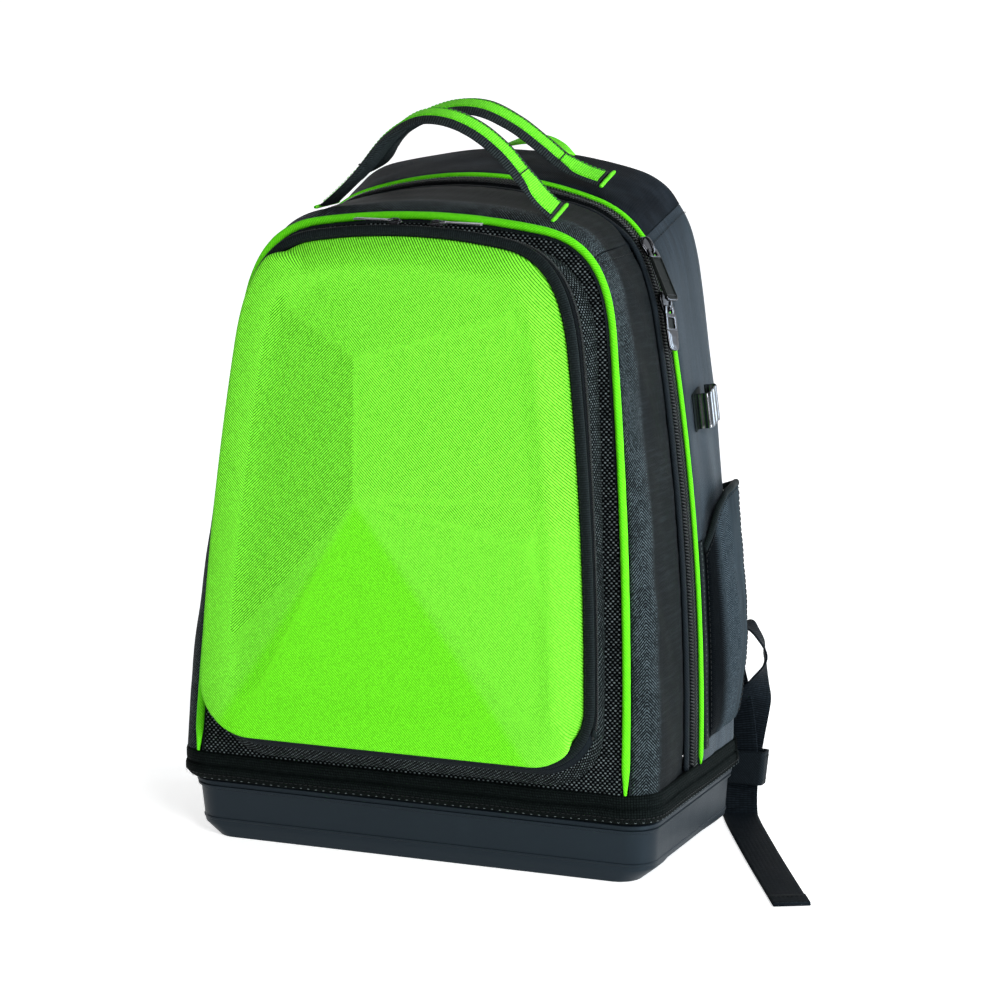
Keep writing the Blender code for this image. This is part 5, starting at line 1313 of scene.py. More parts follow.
def wall_loop(t, lift=0.0, sag=0.0):
    out = []
    for x, z in offset_loop(pocket_mix(t), lift):
        k = 1.7 + (rim_out(z) - 1.7) * t
        w = sag * (noise.noise(Vector((x * 0.016, z * 0.016, 51.0))) + 0.5 * noise.noise(Vector((x * 0.05, z * 0.05, 57.0))))
        ln = math.hypot(x, z - 250.0) or 1.0
        out.append(Vector((x + x / ln * w, front_y(z) - k, z + (z - 250.0) / ln * w)))
    return out


rows = [wall_loop(t, l, s) for t, l, s in ((0.0, -1.5, 0), (0.0, 0.1, 0.3), (0.04, 0.5, 0.5), (0.12, 0.9, 0.9), (0.2, 1.0, 1.0), (0.3, 1.0, 1.0), (0.4, 0.8, 0.9), (0.5, 0.5, 0.6), (0.56, 0.2, 0.3), (0.60, 0.0, 0.1), (0.61, -1.0, 0))]
grid("pocket_gusset_cloth", [list(r) for r in zip(*rows)], "ballistic", loop=True, inside=(0, -115, 240), reps=("pocket_gusset",), slot="black_nylon")

FIRST = N_LOW + 14 - 6        # ring place of the zip's left end
LAST = len(RIM) - (N_LOW + 14) + 5
ZIP_LOOPS = [wall_loop(t, d) for t, d in ((0.615, -1.5), (0.62, 0.0), (0.66, 0.35), (0.70, 0.55), (0.76, 0.5), (0.82, 0.55), (0.86, 0.35), (0.90, 0.0), (0.905, -1.5))]
grid("pocket_zip_tape", [[lp[i] for lp in ZIP_LOOPS] for i in range(FIRST, LAST + 1)], "zip_tape", inside=(0, -120, 240), reps=("pocket_zip",), slot="coil_zip")
mid_loop = wall_loop(0.76, 0.5)
places, acc = [], 0.0
for i in range(FIRST, LAST):
    a, b = mid_loop[i], mid_loop[i + 1]
    seg = (b - a).length
    t = (b - a) / max(1e-9, seg)
    x0, z0 = offset_loop(pocket_mix(0.76), 1.0)[i]
    n = (Vector((x0, front_y(z0) - (1.7 + (rim_out(z0) - 1.7) * 0.76), z0)) - wall_loop(0.76, 0.0)[i]).normalized()
    ac = (wall_loop(0.86, 0.5)[i] - wall_loop(0.66, 0.5)[i]).normalized()
    while acc <= seg:
        places.append((a + t * acc, t, ac, n))
        acc += 1.45
    acc -= seg
coil_teeth("pocket_zip_coil", places, 1.75, 1.45, 0.42, 0.35, 0.9)
LOWER = [wall_loop(t, d) for t, d in ((0.612, -1.6), (0.62, 0.0), (0.68, 0.4), (0.76, 0.5), (0.84, 0.4), (0.90, 0.0), (0.905, -1.6))]
order = [i % len(RIM) for i in range(LAST, len(RIM) + FIRST + 1)]
grid("pocket_lower_strip_cloth", [[lp[i] for lp in LOWER] for i in order], "plain_black", inside=(0, -120, 240), reps=("pocket_lower_strip",), slot="black_nylon")
# short stitched stops across the zip's two ends
for i, tag in ((FIRST + 1, "left"), (LAST - 1, "right")):
    a, b = ZIP_LOOPS[1][i], ZIP_LOOPS[7][i]
    t = (ZIP_LOOPS[4][i + 1] - ZIP_LOOPS[4][i]).normalized()
    n = (b - a).cross(t).normalized()
    if n.dot(a - Vector((0, a.y, 240))) < 0:
        n = -n
    rows = []
    for k in range(9):
        c = a.lerp(b, k / 8) + n * 0.9
        rows.append([c + t * (2.1 * math.cos(2 * math.pi * j / 10)) + n * (0.9 * math.sin(2 * math.pi * j / 10)) for j in range(10)])
    grid("pocket_zip_stop_" + tag, rows, "binding", closed=True, caps=True, slot="binding")

BIND = []
for d, f in ((0.0, -1.8), (0.5, -0.6), (0.75, 0.6), (0.5, 1.7), (-0.3, 2.5), (-1.6, 2.95), (-3.2, 3.0), (-4.8, 2.8), (-5.9, 2.2), (-6.4, 1.2), (-6.5, 0.0), (-6.4, -1.8)):
    lp = []
    for x, z in offset_loop(RIM, d):
        w = 0.22 * noise.noise(Vector((x * 0.10, z * 0.10, 61.0)))
        lp.append(Vector((x, front_y(z) - rim_out(z) - f - (w if f > 1 else 0), z)))
    BIND.append(lp)
grid("pocket_binding_tape", [list(r) for r in zip(*BIND)], "binding", loop=True, inside=None, reps=("pocket_binding",), slot="binding")
st = [Vector((x, front_y(z) - rim_out(z) - 2.85, z)) for x, z in offset_loop(RIM, -4.6)]
THREAD.line(st + st[:1], [Vector((0, -1, 0.1)).normalized()] * (len(st) + 1), 3.4, 2.4, 0.26)

# moulded green panel: the CAD face read back, its creases softened
PANEL = offset_loop(RIM, -BIND_W - 0.3)
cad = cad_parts["pocket_panel"]
dg = bpy.context.evaluated_depsgraph_get()
tree = BVHTree.FromObject(cad, dg)
SIDE_RISE = ((0.0, -1.2), (0.25, 0.6), (1.0, 1.6), (2.5, 3.0), (4.5, 5.0), (7.0, 7.4), (9.5, 9.4), (12.5, 11.4), (15.5, 13.0), (18.0, 13.9))


def cad_height(x, z):
    """Height of the moulded face over its rim plane, from the frame itself."""
    y0 = front_y(z) - rim_out(z)
    hit = tree.ray_cast(Vector((x, y0 - 90.0, z)) * MM, Vector((0, 1, 0)))
    if hit[0] is None:
        return None
    return y0 - hit[0].y / MM


def soft_height(x, z):
    acc, n = 0.0, 0
    for dx, dz in KERNEL:
        h = cad_height(x + dx, z + dz)
        if h is not None and h > 2:
            acc += h
            n += 1
    return acc / n if n else LEAN_FWD


KERNEL = [(0.0, 0.0)] + [(r * math.cos(2 * math.pi * k / 6 + r), r * math.sin(2 * math.pi * k / 6 + r)) for r in (1.2, 2.4) for k in range(6)]
n_ring = len(PANEL)
cx, cz = 0.0, 250.0
inner = offset_loop(PANEL, -18.0)
rings = []
LOW_RISE = ((0.2, -1.2), (0.15, 1.2), (0.1, 3.0), (-0.9, 4.2), (-2.6, 6.0), (-3.7, 8.0), (-4.0, 9.8), (-3.2, 11.6), (-0.6, 13.0), (18.0, 13.9))


def low_share(i):
    """1 where the moulding stands over its rim, at the bottom and the left."""
    a, b = PANEL[(i - 1) % len(PANEL)], PANEL[(i + 1) % len(PANEL)]
    ln = math.hypot(b[0] - a[0], b[1] - a[1]) or 1.0
    nx, nz = (b[1] - a[1]) / ln, -(b[0] - a[0]) / ln
    if nx * PANEL[i][0] + nz * (PANEL[i][1] - 250.0) < 0:
        nx, nz = -nx, -nz
    return smooth_step((max(-nx, -nz) - 0.25) / 0.5)


def smooth_step(x):
    x = max(0.0, min(1.0, x))
    return x * x * (3 - 2 * x)


LOWS = [low_share(i) for i in range(len(PANEL))]
for (d, h), (d2, h2) in zip(SIDE_RISE, LOW_RISE):
    side_ring, low_ring = offset_loop(PANEL, -d), offset_loop(PANEL, -d2)
    ring = []
    for k, (x, z), (x2, z2) in zip(LOWS, side_ring, low_ring):
        xx, zz = lerp(x, x2, k), lerp(z, z2, k)
        ring.append(Vector((xx, front_y(zz) - rim_out(zz) - lerp(h, h2, k), zz)))
    rings.append(ring)
SIDE_POINTS = len(rings) * len(PANEL)
edge_h = SIDE_RISE[-1][1]
fs = [1.0 - k / 46 for k in range(1, 46)] + [0.006]
for f in fs:
    ring = []
    for x, z in inner:
        xx, zz = cx + (x - cx) * f, cz + (z - cz) * f
        dist = (1 - f) * math.hypot(x - cx, z - cz)
        k = min(1.0, dist / 16.0)
        k = k * k * (3 - 2 * k)
        h = edge_h + 1.30 * (soft_height(xx, zz) - edge_h)
        w = 0.10 * noise.noise(Vector((xx * 0.05, zz * 0.05, 71.0)))
        ring.append(Vector((xx, front_y(zz) - rim_out(zz) - lerp(edge_h, h, k) - w, zz)))
    rings.append(ring)
ob = grid("pocket_panel_moulding", rings, "green_panel", closed=True, caps=True, inside=(0, -60, 240), reps=("pocket_panel",), slot="green_twill")
mesh = ob.data
idx = np.empty(len(mesh.loops), dtype=np.int32)
mesh.loops.foreach_get("vertex_index", idx)
co = np.empty(len(mesh.vertices) * 3, dtype=np.float32)
mesh.vertices.foreach_get("co", co)
co = co.reshape(-1, 3)[idx] / MM
vals = np.empty(len(mesh.loops) * 2, dtype=np.float32)
vals[0::2], vals[1::2] = co[:, 0], co[:, 2]
mesh.uv_layers[0].data.foreach_set("uv", vals)


def face_normal(x, z):
    hit = tree.ray_cast(Vector((x, front_y(z) - rim_out(z) - 90.0, z)) * MM, Vector((0, 1, 0)))
    return hit[1] if hit[0] is not None else Vector((0, -1, 0))


facet_values, crease_values = [], []
for v in mesh.vertices:
    x, z = v.co.x / MM, v.co.z / MM
    if v.index < SIDE_POINTS:
        facet_values.append(0.60)
        crease_values.append(0.0)
        continue
    near = [face_normal(x + a, z + b) for a, b in ((0, 0), (2.2, 0), (-2.2, 0), (0, 2.2), (0, -2.2), (1.6, 1.6), (-1.6, -1.6), (1.6, -1.6), (-1.6, 1.6))]
    mean = sum(near, Vector()) / len(near)
    # faces that look away to the left carry the weave's other diagonal and a darker tone, painted shade
    value = 0.5 + 6.0 * (mean.x + 0.055)
    below = (z - 254.0) - (x + 22.0) * (110.0 / 105.0)
    if value < 0.5 and below < 0:
        value = lerp(value, 0.51, smooth_step(-below / 4.0))
    facet_values.append(value)
    spread = max((a - mean).length for a in near)
    crease_values.append(min(1.0, spread / 0.06))
for key, values in (("facet", facet_values), ("crease", crease_values)):
    layer = mesh.attributes.new(key, "FLOAT", "POINT")
    layer.data.foreach_set("value", np.clip(np.array(values, dtype=np.float32), 0.0, 1.0))

# ---------------------------------------------------------------- zip hardware


def tab_outline(x0, x1, w0, w1, r0, r1, n=10):
    """Tab from x0 (eye end, width w0) to x1 (free end, width w1)."""
    pts = []
    for cx, sy, a0, r, w in ((x1 - r1, -1, -90, r1, w1), (x1 - r1, 1, 0, r1, w1), (x0 + r0, 1, 90, r0, w0), (x0 + r0, -1, 180, r0, w0)):
        cy = sy * (w / 2 - r)
        for i in range(n + 1):
            a = math.radians(a0 + 90.0 * i / n)
            pts.append((cx + r * math.cos(a), cy + r * math.sin(a)))
    return pts


def bail(name, fr, k, lift, x0, x1, top, w, mat, **kw):
    """Arched bridge over a slider that carries the pull's eye."""
    rows = []
    for i in range(19):
        a = math.pi * i / 18
        cx = lerp(x0, x1, (1 - math.cos(a)) / 2)
        cz = lift + (top - lift) * (math.sin(a) ** 0.55 if 0 < i < 18 else 0.0)
        tx, tz = math.sin(a), math.cos(a)
        ring = []
        for j in range(10):
            b = 2 * math.pi * j / 10
            rr = 0.62 * k
            ring.append(fr(cx + rr * math.sin(b) * (-math.cos(a)), w / 2 * math.cos(b), cz + rr * math.sin(b) * max(0.35, abs(math.sin(a)))))
        rows.append(ring)
    return grid(name, rows, mat, closed=True, caps=True, **kw)


def zip_slider(name, fr, k, lift, mat, node):
    """Shield-shaped slider plate with raised side rails and a bail."""
    out = []
    shape = ((-7.6, 1.6), (-7.2, 3.4), (-5.6, 4.9), (-2.0, 5.5), (2.0, 5.1), (5.4, 4.2), (7.2, 2.8), (7.7, 1.2))
    pts = [(a * k, -b * k) for a, b in shape] + [(a * k, b * k) for a, b in reversed(shape)]
    fine = []
    for i in range(len(pts)):
        a, b = pts[i], pts[(i + 1) % len(pts)]
        for j in range(3):
            fine.append((lerp(a[0], b[0], j / 3), lerp(a[1], b[1], j / 3)))
    plate(name + "_plate", fine, lift, lift + 2.4 * k, fr, mat, r=0.8 * k, reps=(node,), slot="dark_nickel")
    for s, tag in ((-1, "a"), (1, "b")):
        rows = []
        for i in range(15):
            x = lerp(-6.6, 6.8, i / 14) * k
            y = s * (4.6 - 0.10 * abs(lerp(-6.6, 6.8, i / 14) + 1.5) ** 1.55) * k
            rows.append([fr(x, y + 0.75 * k * math.cos(2 * math.pi * j / 8), lift + 2.6 * k + 0.8 * k * math.sin(2 * math.pi * j / 8)) for j in range(8)])
        grid(name + "_rail_" + tag, rows, mat, closed=True, caps=True, slot="dark_nickel")
    bail(name + "_bail", fr, k, lift + 2.2 * k, -6.2 * k, 6.2 * k, lift + 6.0 * k, 2.6 * k, mat, slot="dark_nickel")


def zip_pull(tag, node, fr, k, lift, length, width, mat, rim_mat, body_name, kind):
    mid = lift + 4.0 * k
    h = 0.9 * k
    x0 = 3.0 * k
    outer = tab_outline(x0, length, width * 0.82, width * 0.92, 1.6 * k, 2.8 * k)
    hole = tab_outline(4.8 * k, 8.4 * k, 5.0 * k, 5.0 * k, 0.8 * k, 0.8 * k)
    # one ring round the eye, the rest of the tab beyond it
    eye = tab_outline(x0, 9.6 * k, width * 0.82, width * 0.92, 1.5 * k, 1.0 * k)
    plate(tag + "_eye", eye, mid - h, mid + h, fr, rim_mat, hole=hole, r=0.45 * k, body_name=body_name, reps=(node,), slot="dark_nickel")
    if kind == "tab":
        plate(tag + "_tab", tab_outline(9.2 * k, length, width * 0.94, width * 0.98, 1.0, 2.8), mid - h, mid + h, fr, mat, r=0.7, body_name=body_name, slot="black_plastic")
        lip = tab_outline(9.6 * k, length - 0.35, width * 0.90, width * 0.93, 0.9, 2.6)
        inner = tab_outline(10.9 * k, length - 1.5, width * 0.70, width * 0.73, 0.6, 1.9)
        plate(tag + "_lip", lip, mid + h - 0.3, mid + h + 0.65, fr, mat, hole=inner, r=0.4, body_name=body_name, slot="black_plastic")
        bar = rect_loop(26.6, 27.7, -width * 0.34, width * 0.34, 0.3)
        plate(tag + "_bar", bar, mid + h - 0.2, mid + h + 0.4, fr, mat, r=0.25, body_name=body_name, slot="black_plastic")
        end = tab_outline(length - 3.6, length + 0.4, width * 0.95, width * 0.99, 0.4, 3.0)
        ehole = tab_outline(length - 3.2, length - 1.1, width * 0.7, width * 0.74, 0.3, 1.9)
        plate(tag + "_shoe", end, mid - h - 0.15, mid + h + 0.35, fr, rim_mat, hole=ehole, r=0.35, body_name=body_name, slot="dark_nickel")
    else:
        win = tab_outline(11.6 * k, 18.6 * k, width * 0.56, width * 0.56, 0.9, 0.9)
        upper = tab_outline(9.0 * k, 20.4 * k, width * 0.94, width, 0.8, 0.8)
        plate(tag + "_window", upper, mid - h, mid + h + 0.3, fr, mat, hole=win, r=0.55, body_name=body_name, slot="dark_nickel")
        plate(tag + "_floor", rect_loop(11.0 * k, 19.2 * k, -width * 0.3, width * 0.3, 0.6), mid - h + 0.1, mid - h + 0.9, fr, "coated", r=0.2, body_name=body_name, slot="dark_nickel")
        plate(tag + "_foot", tab_outline(20.0 * k, length, width, width * 0.88, 0.8, 3.6), mid - h, mid + h + 0.3, fr, mat, r=0.8, body_name=body_name, slot="dark_nickel")
        plate(tag + "_dish", tab_outline(22.0 * k, length - 1.6, width * 0.66, width * 0.62, 0.8, 2.6), mid + h + 0.1, mid + h + 0.55, fr, mat, r=0.25, body_name=body_name, slot="dark_nickel")


for name, u, yaw, kind, length in (("upper", 0.6500, -9.0, "tab", 42.0), ("lower", 0.6835, -8.0, "foot", 34.0)):
    p, t, n = zip_point(u)
    zip_slider("main_slider_" + name + "_cast", local_frame(p, t, n), 1.0, 0.4, "nickel", "main_slider_" + name)
    fr = local_frame(p, turned(t, n, yaw), n)
    zip_pull("main_pull_" + name + "_cast", "main_pull_" + name, fr, 1.0, 0.4, length, 12.4, "coated" if kind == "tab" else "nickel", "nickel", "main_pull_%s_body" % name, kind)

for name, x_at, side in (("left", -13.0, -1.0), ("right", 17.0, 1.0)):
    p, t, n = pocket_zip_point(x_at, side)
    zip_slider("pocket_slider_" + name + "_cast", local_frame(p, t, n), 0.62, 0.2, "nickel", "pocket_slider_" + name)
    fr = local_frame(p, turned(t, n, 7.0 * side), n)
    k, lift, length, width = 0.62, 0.2, 31.0, 5.4
    mid, h = lift + 4.0 * k, 0.55
    b = "pocket_pull_%s_body" % name
    tagn = "pocket_pull_%s_cast" % name
    plate(tagn + "_eye", tab_outline(3.0 * k, 6.6, width * 0.9, width * 0.8, 1.0, 0.6), mid - h, mid + h, fr, "silver",
          hole=tab_outline(4.8 * k, 5.2, 3.0, 3.0, 0.4, 0.4), r=0.25, body_name=b, reps=("pocket_pull_" + name,), slot="silver_metal")
    plate(tagn + "_stem", tab_outline(6.3, length, width * 0.62, width * 0.95, 0.5, 1.6), mid - h, mid + h, fr, "silver", r=0.35, body_name=b, slot="silver_metal",)

# ---------------------------------------------------------------- handles


def grip_profile(w, t, n=30, pinch=0.0):
    """Webbing folded round a core: a full middle and thin pressed rims."""
    pts = []
    for i in range(n):
        a = 2 * math.pi * i / n
        c, s = math.cos(a), math.sin(a)
        x = w / 2 * math.copysign(abs(c) ** 0.75, c)
        k = 1.0 - 0.55 * smooth01((abs(x) / (w / 2) - 0.62) / 0.3)
        pts.append((x, t / 2 * math.copysign(abs(s) ** 0.6, s) * k))
    return pts


def smooth01(x):
    x = max(0.0, min(1.0, x))
    return x * x * (3 - 2 * x)


for name, table in (("front", HANDLE_FRONT), ("rear", HANDLE_REAR)):
    last = len(table) - 1
    fr_list = frames_on(table, 16, floor=False)
    rows, top, topn, left_pts, right_pts, nn_ = [], [], [], [], [], []
    for p, tan, w, nrm, ww, tt, t in fr_list:
        if nrm.z < 0 or (abs(nrm.z) < 0.2 and nrm.x * p.x < 0):
            nrm2 = -nrm
        else:
            nrm2 = nrm
        end = min(t, last - t)
        wid = ww * (1.0 + 0.02 * n3(p, 0.1, 0.1, 0.1, 81.0))
        rows.append([p + w * a + nrm * b for a, b in grip_profile(wid, tt * (1.0 if end > 1.6 else 0.85))])
        nn_.append(nrm2)
    grid("handle_%s_webbing" % name, rows, "gros_black", closed=True, caps=True, reps=("handle_" + name,), slot="black_webbing")
    # green stripe, wide over the sewn roots and pinched on the grip
    srows, wide_pts = [], []
    for (p, tan, w, nrm, ww, tt, t), up in zip(fr_list, nn_):
        if t < 0.14 or t > last - 0.14:
            continue
        end = min(t, last - t)
        half = lerp(9.4, 5.9, smooth01((end - 1.15) / 1.05))
        lift = tt / 2 * (0.85 if end <= 1.6 else 1.0)
        row = []
        for k in range(9):
            f = lerp(-1, 1, k / 8)
            prof = 1.0 - 0.55 * smooth01((abs(half * f) / (ww / 2) - 0.62) / 0.3)
            row.append(p + w * (half * f) + up * (lift * prof + (0.55 if k not in (0, 8) else -0.25)))
        srows.append(row)
        wide_pts.append((p, tan, w, up, half, lift, t))
    grid("handle_%s_centre" % name, srows, "green_web", inside=(0, srows[0][0].y, 300), reps=("handle_%s_stripe" % name,), slot="green_webbing")
    # green thread along both sides of the stripe and black thread across where it narrows
    for sgn in (-1, 1):
        pts = [p + w * (sgn * (half - 0.5)) + up * (lift + 0.5) for p, tan, w, up, half, lift, t in wide_pts]
        THREAD_GREEN.line(pts, [q[3] for q in wide_pts], 3.2, 2.2, 0.22)
    for target in (2.15, last - 2.15):
        q = min(wide_pts, key=lambda z: abs(z[6] - target))
        p, tan, w, up, half, lift, t = q
        for k in range(5):
            f = lerp(-1, 1, k / 4)
            THREAD.add(p + w * (half * f) + up * (lift + 0.62), w, up, half * 0.55, 0.55)
    for side, sgn, r, nxt in (("left", -1, table[0], table[1]), ("right", 1, table[-1], table[-2])):
        tan = (Vector(r[:3]) - Vector(nxt[:3])).normalized()
        w = Vector(r[3:6])
        w = (w - tan * w.dot(tan)).normalized()
        nrm = tan.cross(w)
        if nrm.z < 0:
            nrm = -nrm
        p = Vector(r[:3]) + tan * 0.9
        rows = []
        for i in range(15):
            b = lerp(-14.6, 14.6, i / 14)
            k = 0.7 if i in (0, 14) else 1.0
            wob = 0.25 * n3((b, 0, 0), 0.2, 1, 1, 91.0)
            rows.append([p + tan * (1.6 + wob + 1.45 * k * math.cos(2 * math.pi * j / 12)) + w * b + nrm * (0.6 + 1.25 * k * math.sin(2 * math.pi * j / 12)) for j in range(12)])
        grid("handle_%s_end_%s" % (name, side), rows, "green_web", closed=True, caps=True, reps=("handle_%s_bar_%s" % (name, side),), slot="green_webbing")

# hang loop
rows = []
for p, tan, w, nrm, ww, tt, t in frames_on(HANG_LOOP, 14, floor=False):
    rows.append([p + w * a + nrm * b for a, b in rounded_strip(ww, tt, 6, 4)])
grid("hang_loop_webbing", rows, "green_web", closed=True, caps=True, reps=("hang_loop",), slot="green_webbing")

# ---------------------------------------------------------------- side pockets


def pouch_at(c, h, extra, side, sag=0.0):
    """The pouch surface at a column position and height share."""
    f, out, z0, z1 = catmull(POUCH, c)
    out = max(0.0, out)
    z = lerp(z0 - 13.0, z1, h)
    u = u_at(z, side)
    s = lerp(along(u, POUCH_LINES[0]), along(u, POUCH_LINES[1]), min(1.0, max(0.0, f)))
    p, _, n = body_frame(u_at(z, side, s), s)
    swell = math.sin(math.pi / 2 * min(1.0, h / 0.42)) ** 0.8 if h > 0 else 0.0
    swell *= 1.0 - 0.12 * max(0.0, (h - 0.75) / 0.25)
    w = sag * (1.0 * n3(p, 0.0, 0.05, 0.018, 101.0) + 0.5 * n3(p, 0.0, 0.11, 0.07, 103.0)) * min(1.0, out / 6.0)
    return p + n * (1.7 + extra + out * swell + w), n


for side, tag in ((1, "right"), (-1, "left")):
    cmax = len(POUCH) - 1
    C_N, H_N = 40, 44
    rows = []
    for i in range(H_N + 1):
        h = i / H_N
        row = []
        for j in range(C_N + 1):
            c = cmax * j / C_N
            p, n = pouch_at(c, h, POUCH_WALL, side, 1.3)
            dip = -1.0 * math.exp(-((c - 5.0) / 0.10) ** 2)     # upright seam
            edge = -2.2 * (1 - min(1.0, min(j, C_N - j) / 2.0)) - 1.8 * (1 - min(1.0, i / 2.0))
            row.append(p + n * (dip + edge))
        rows.append(row)
    # turned over the mouth and down inside
    for h, extra in ((1.0, 2.4), (0.99, 0.9), (0.9, 0.2), (0.7, 0.2), (0.4, 0.2)):
        rows.append([pouch_at(cmax * j / C_N, h, extra, side, 1.3)[0] for j in range(C_N + 1)])
    grid("side_pocket_%s_cloth" % tag, rows, "side_pocket", inside=(0, 40, 150), reps=("side_pocket_" + tag,), slot="grey_nylon", u_from=0)
    # padded roll along the mouth
    rows, tl, tn = [], [], []
    for j in range(61):
        c = cmax * j / 60
        lo, n = pouch_at(c, 1.0, 0.0, side, 1.3)
        below, _ = pouch_at(c, 0.97, 0.0, side, 1.3)
        up = (lo - below).normalized()
        rows.append([lo + up * (0.9 + 2.6 * math.sin(2 * math.pi * k / 14)) + n * (1.6 + 2.1 * math.cos(2 * math.pi * k / 14)) for k in range(14)])
        tl.append(lo + up * -2.6 + n * 3.5)
        tn.append(n)
    grid("side_pocket_edge_%s_tape" % tag, rows, "binding", closed=True, caps=True, reps=("side_pocket_edge_" + tag,), slot="binding")
    THREAD.line(tl, tn, 3.4, 2.4, 0.28)
    for c in (0.10, 4.8, 5.2, cmax - 0.12):
        pts, nn2 = [], []
        for i in range(41):
            p, n = pouch_at(c, 0.03 + 0.95 * i / 40, POUCH_WALL + 0.1, side, 1.3)
            pts.append(p)
            nn2.append(n)
        THREAD.line(pts, nn2, 3.6, 2.5, 0.28)

    # binding strip sewn down in front of the pouch
    rows, tl, tn = [], [], []
    for i in range(49):
        z = lerp(74.0, 212.0, i / 48)
        row = []
        for j, (ds, up) in enumerate(((0.0, -0.6), (0.03, 0.9), (0.10, 1.25), (0.30, 1.35), (0.55, 1.4), (0.80, 1.35), (0.95, 1.1), (1.0, -0.4))):
            u = u_at(z, side)
            s_front = along(u, POUCH_LINES[0])
            s_at = s_front - 0.13 * (1.0 - ds) + 0.02
            p, _, n = body_frame(u_at(z, side, s_at), s_at)
            row.append(p + n * (CLOTH / 2 + 0.9 + up + 0.3 * n3(p, 0.05, 0.05, 0.03, 107.0)))
            if j == 3:
                tl.append(row[-1] + n * 0.15)
                tn.append(n)
        rows.append(row)
    grid("side_pocket_%s_strip" % tag, rows, "binding", inside=(0, 40, 150), slot="binding")
    THREAD_GREY.line(tl, tn, 3.6, 1.6, 0.20)

# ---------------------------------------------------------------- tape clip
prof = [(-9.0, 0.2), (-9.0, 10.2), (-8.4, 11.2), (-7.4, 11.8), (-4.0, 11.8), (0.0, 11.9), (4.0, 11.8), (6.6, 11.8), (7.6, 11.2), (8.3, 10.2), (8.3, 2.6)]


def bend_line(pts, n):
    """Even points along a polyline."""
    d = [0.0]
    for a, b in zip(pts, pts[1:]):
        d.append(d[-1] + math.hypot(b[0] - a[0], b[1] - a[1]))
    out = []
    for i in range(n + 1):
        t = d[-1] * i / n
        k = max(j for j in range(len(d) - 1) if d[j] <= t + 1e-9)
        f = (t - d[k]) / max(1e-9, d[k + 1] - d[k])
        out.append((lerp(pts[k][0], pts[k + 1][0], f), lerp(pts[k][1], pts[k + 1][1], f)))
    return out


path = bend_line(prof, 60)
rows = []
for i, (a, c) in enumerate(path):
    a0, c0 = path[max(0, i - 1)]
    a1, c1 = path[min(len(path) - 1, i + 1)]
    ln = math.hypot(a1 - a0, c1 - c0) or 1.0
    na, nc = (c1 - c0) / ln, -(a1 - a0) / ln
    ribbed = 0.28 * math.sin(2 * math.pi * i / 60 * 7.0) if 3 < i < 56 else 0.0
    row = []
    for x, y in rounded_strip(24.0, 1.2, 10, 4):
        k = y + ribbed
        row.append(clip_frame(a + na * k, x, c + nc * k))
    rows.append(row)
grid("tape_clip_plate", rows, "clip_metal", closed=True, caps=True, reps=("tape_clip",), slot="dark_nickel")
base_rows = [[clip_frame(a, b, 0.2 + 0.7 * k) for a, b in rect_loop(-12.5, 3.0, -13.0, 13.0, 1.5)] for k in (0, 1)]
grid("tape_clip_patch", base_rows, "binding", closed=True, caps=True, slot="binding")

# ---------------------------------------------------------------- back


def soft_pad(name, node, hx_low, hx_top, z0, z1, r, off, thick, mat, slot, channels=(), n=20):
    def loop(ins, out, f=1.0):
        pts = []
        for cx, cz, a0 in ((hx_low - r, z0 + r, -90), (hx_top - r, z1 - r, 0), (-hx_top + r, z1 - r, 90), (-hx_low + r, z0 + r, 180)):
            for i in range(n + 1):
                a = math.radians(a0 + 90.0 * i / n)
                rr = max(1.0, r - ins)
                pts.append((cx + rr * math.cos(a), cz + rr * math.sin(a)))
        full = []
        for i, (x, z) in enumerate(pts):
            x2, z2 = pts[(i + 1) % len(pts)]
            gap = math.hypot(x2 - x, z2 - z)
            k = max(1, int(round(gap / 5.0))) if gap > 8 else 1
            if ins == 0.0 or True:
                full += [(lerp(x, x2, j / k), lerp(z, z2, j / k)) for j in range(k)]
        return full
    base = loop(0.0, 0.0)
    czz = (z0 + z1) / 2
    rings = []
    for f, h in ((1.0, -0.6), (1.0, thick * 0.25), (0.995, thick * 0.5), (0.98, thick * 0.72), (0.955, thick * 0.86), (0.92, thick * 0.95)) + tuple((1 - k / 22, thick) for k in range(2, 22)) + ((0.01, thick),):
        ring = []
        for x, z in base:
            xx, zz = x * f, czz + (z - czz) * f
            dip = 0.0
            for kind, at, half in channels:
                dd = abs((zz if kind == "z" else abs(xx)) - at)
                dip += -thick * 0.62 * math.exp(-(dd / half) ** 2)
            puff = 0.5 * noise.noise(Vector((xx * 0.03, zz * 0.03, 111.0)))
            hh = max(0.6, h + (dip + puff if h > thick * 0.5 else 0.0)) if h > 0 else h
            ring.append(Vector((xx, back_y(zz) + off + hh, zz)))
        rings.append(ring)
    ob = grid(name, rings, mat, closed=True, caps=True, inside=(0, 60, 230), reps=(node,), slot=slot)
    mesh = ob.data
    idx = np.empty(len(mesh.loops), dtype=np.int32)
    mesh.loops.foreach_get("vertex_index", idx)
    co = np.empty(len(mesh.vertices) * 3, dtype=np.float32)
    mesh.vertices.foreach_get("co", co)
    co = co.reshape(-1, 3)[idx] / MM
    vals = np.empty(len(mesh.loops) * 2, dtype=np.float32)
    vals[0::2], vals[1::2] = co[:, 0], co[:, 2]
    mesh.uv_layers[0].data.foreach_set("uv", vals)
    return ob


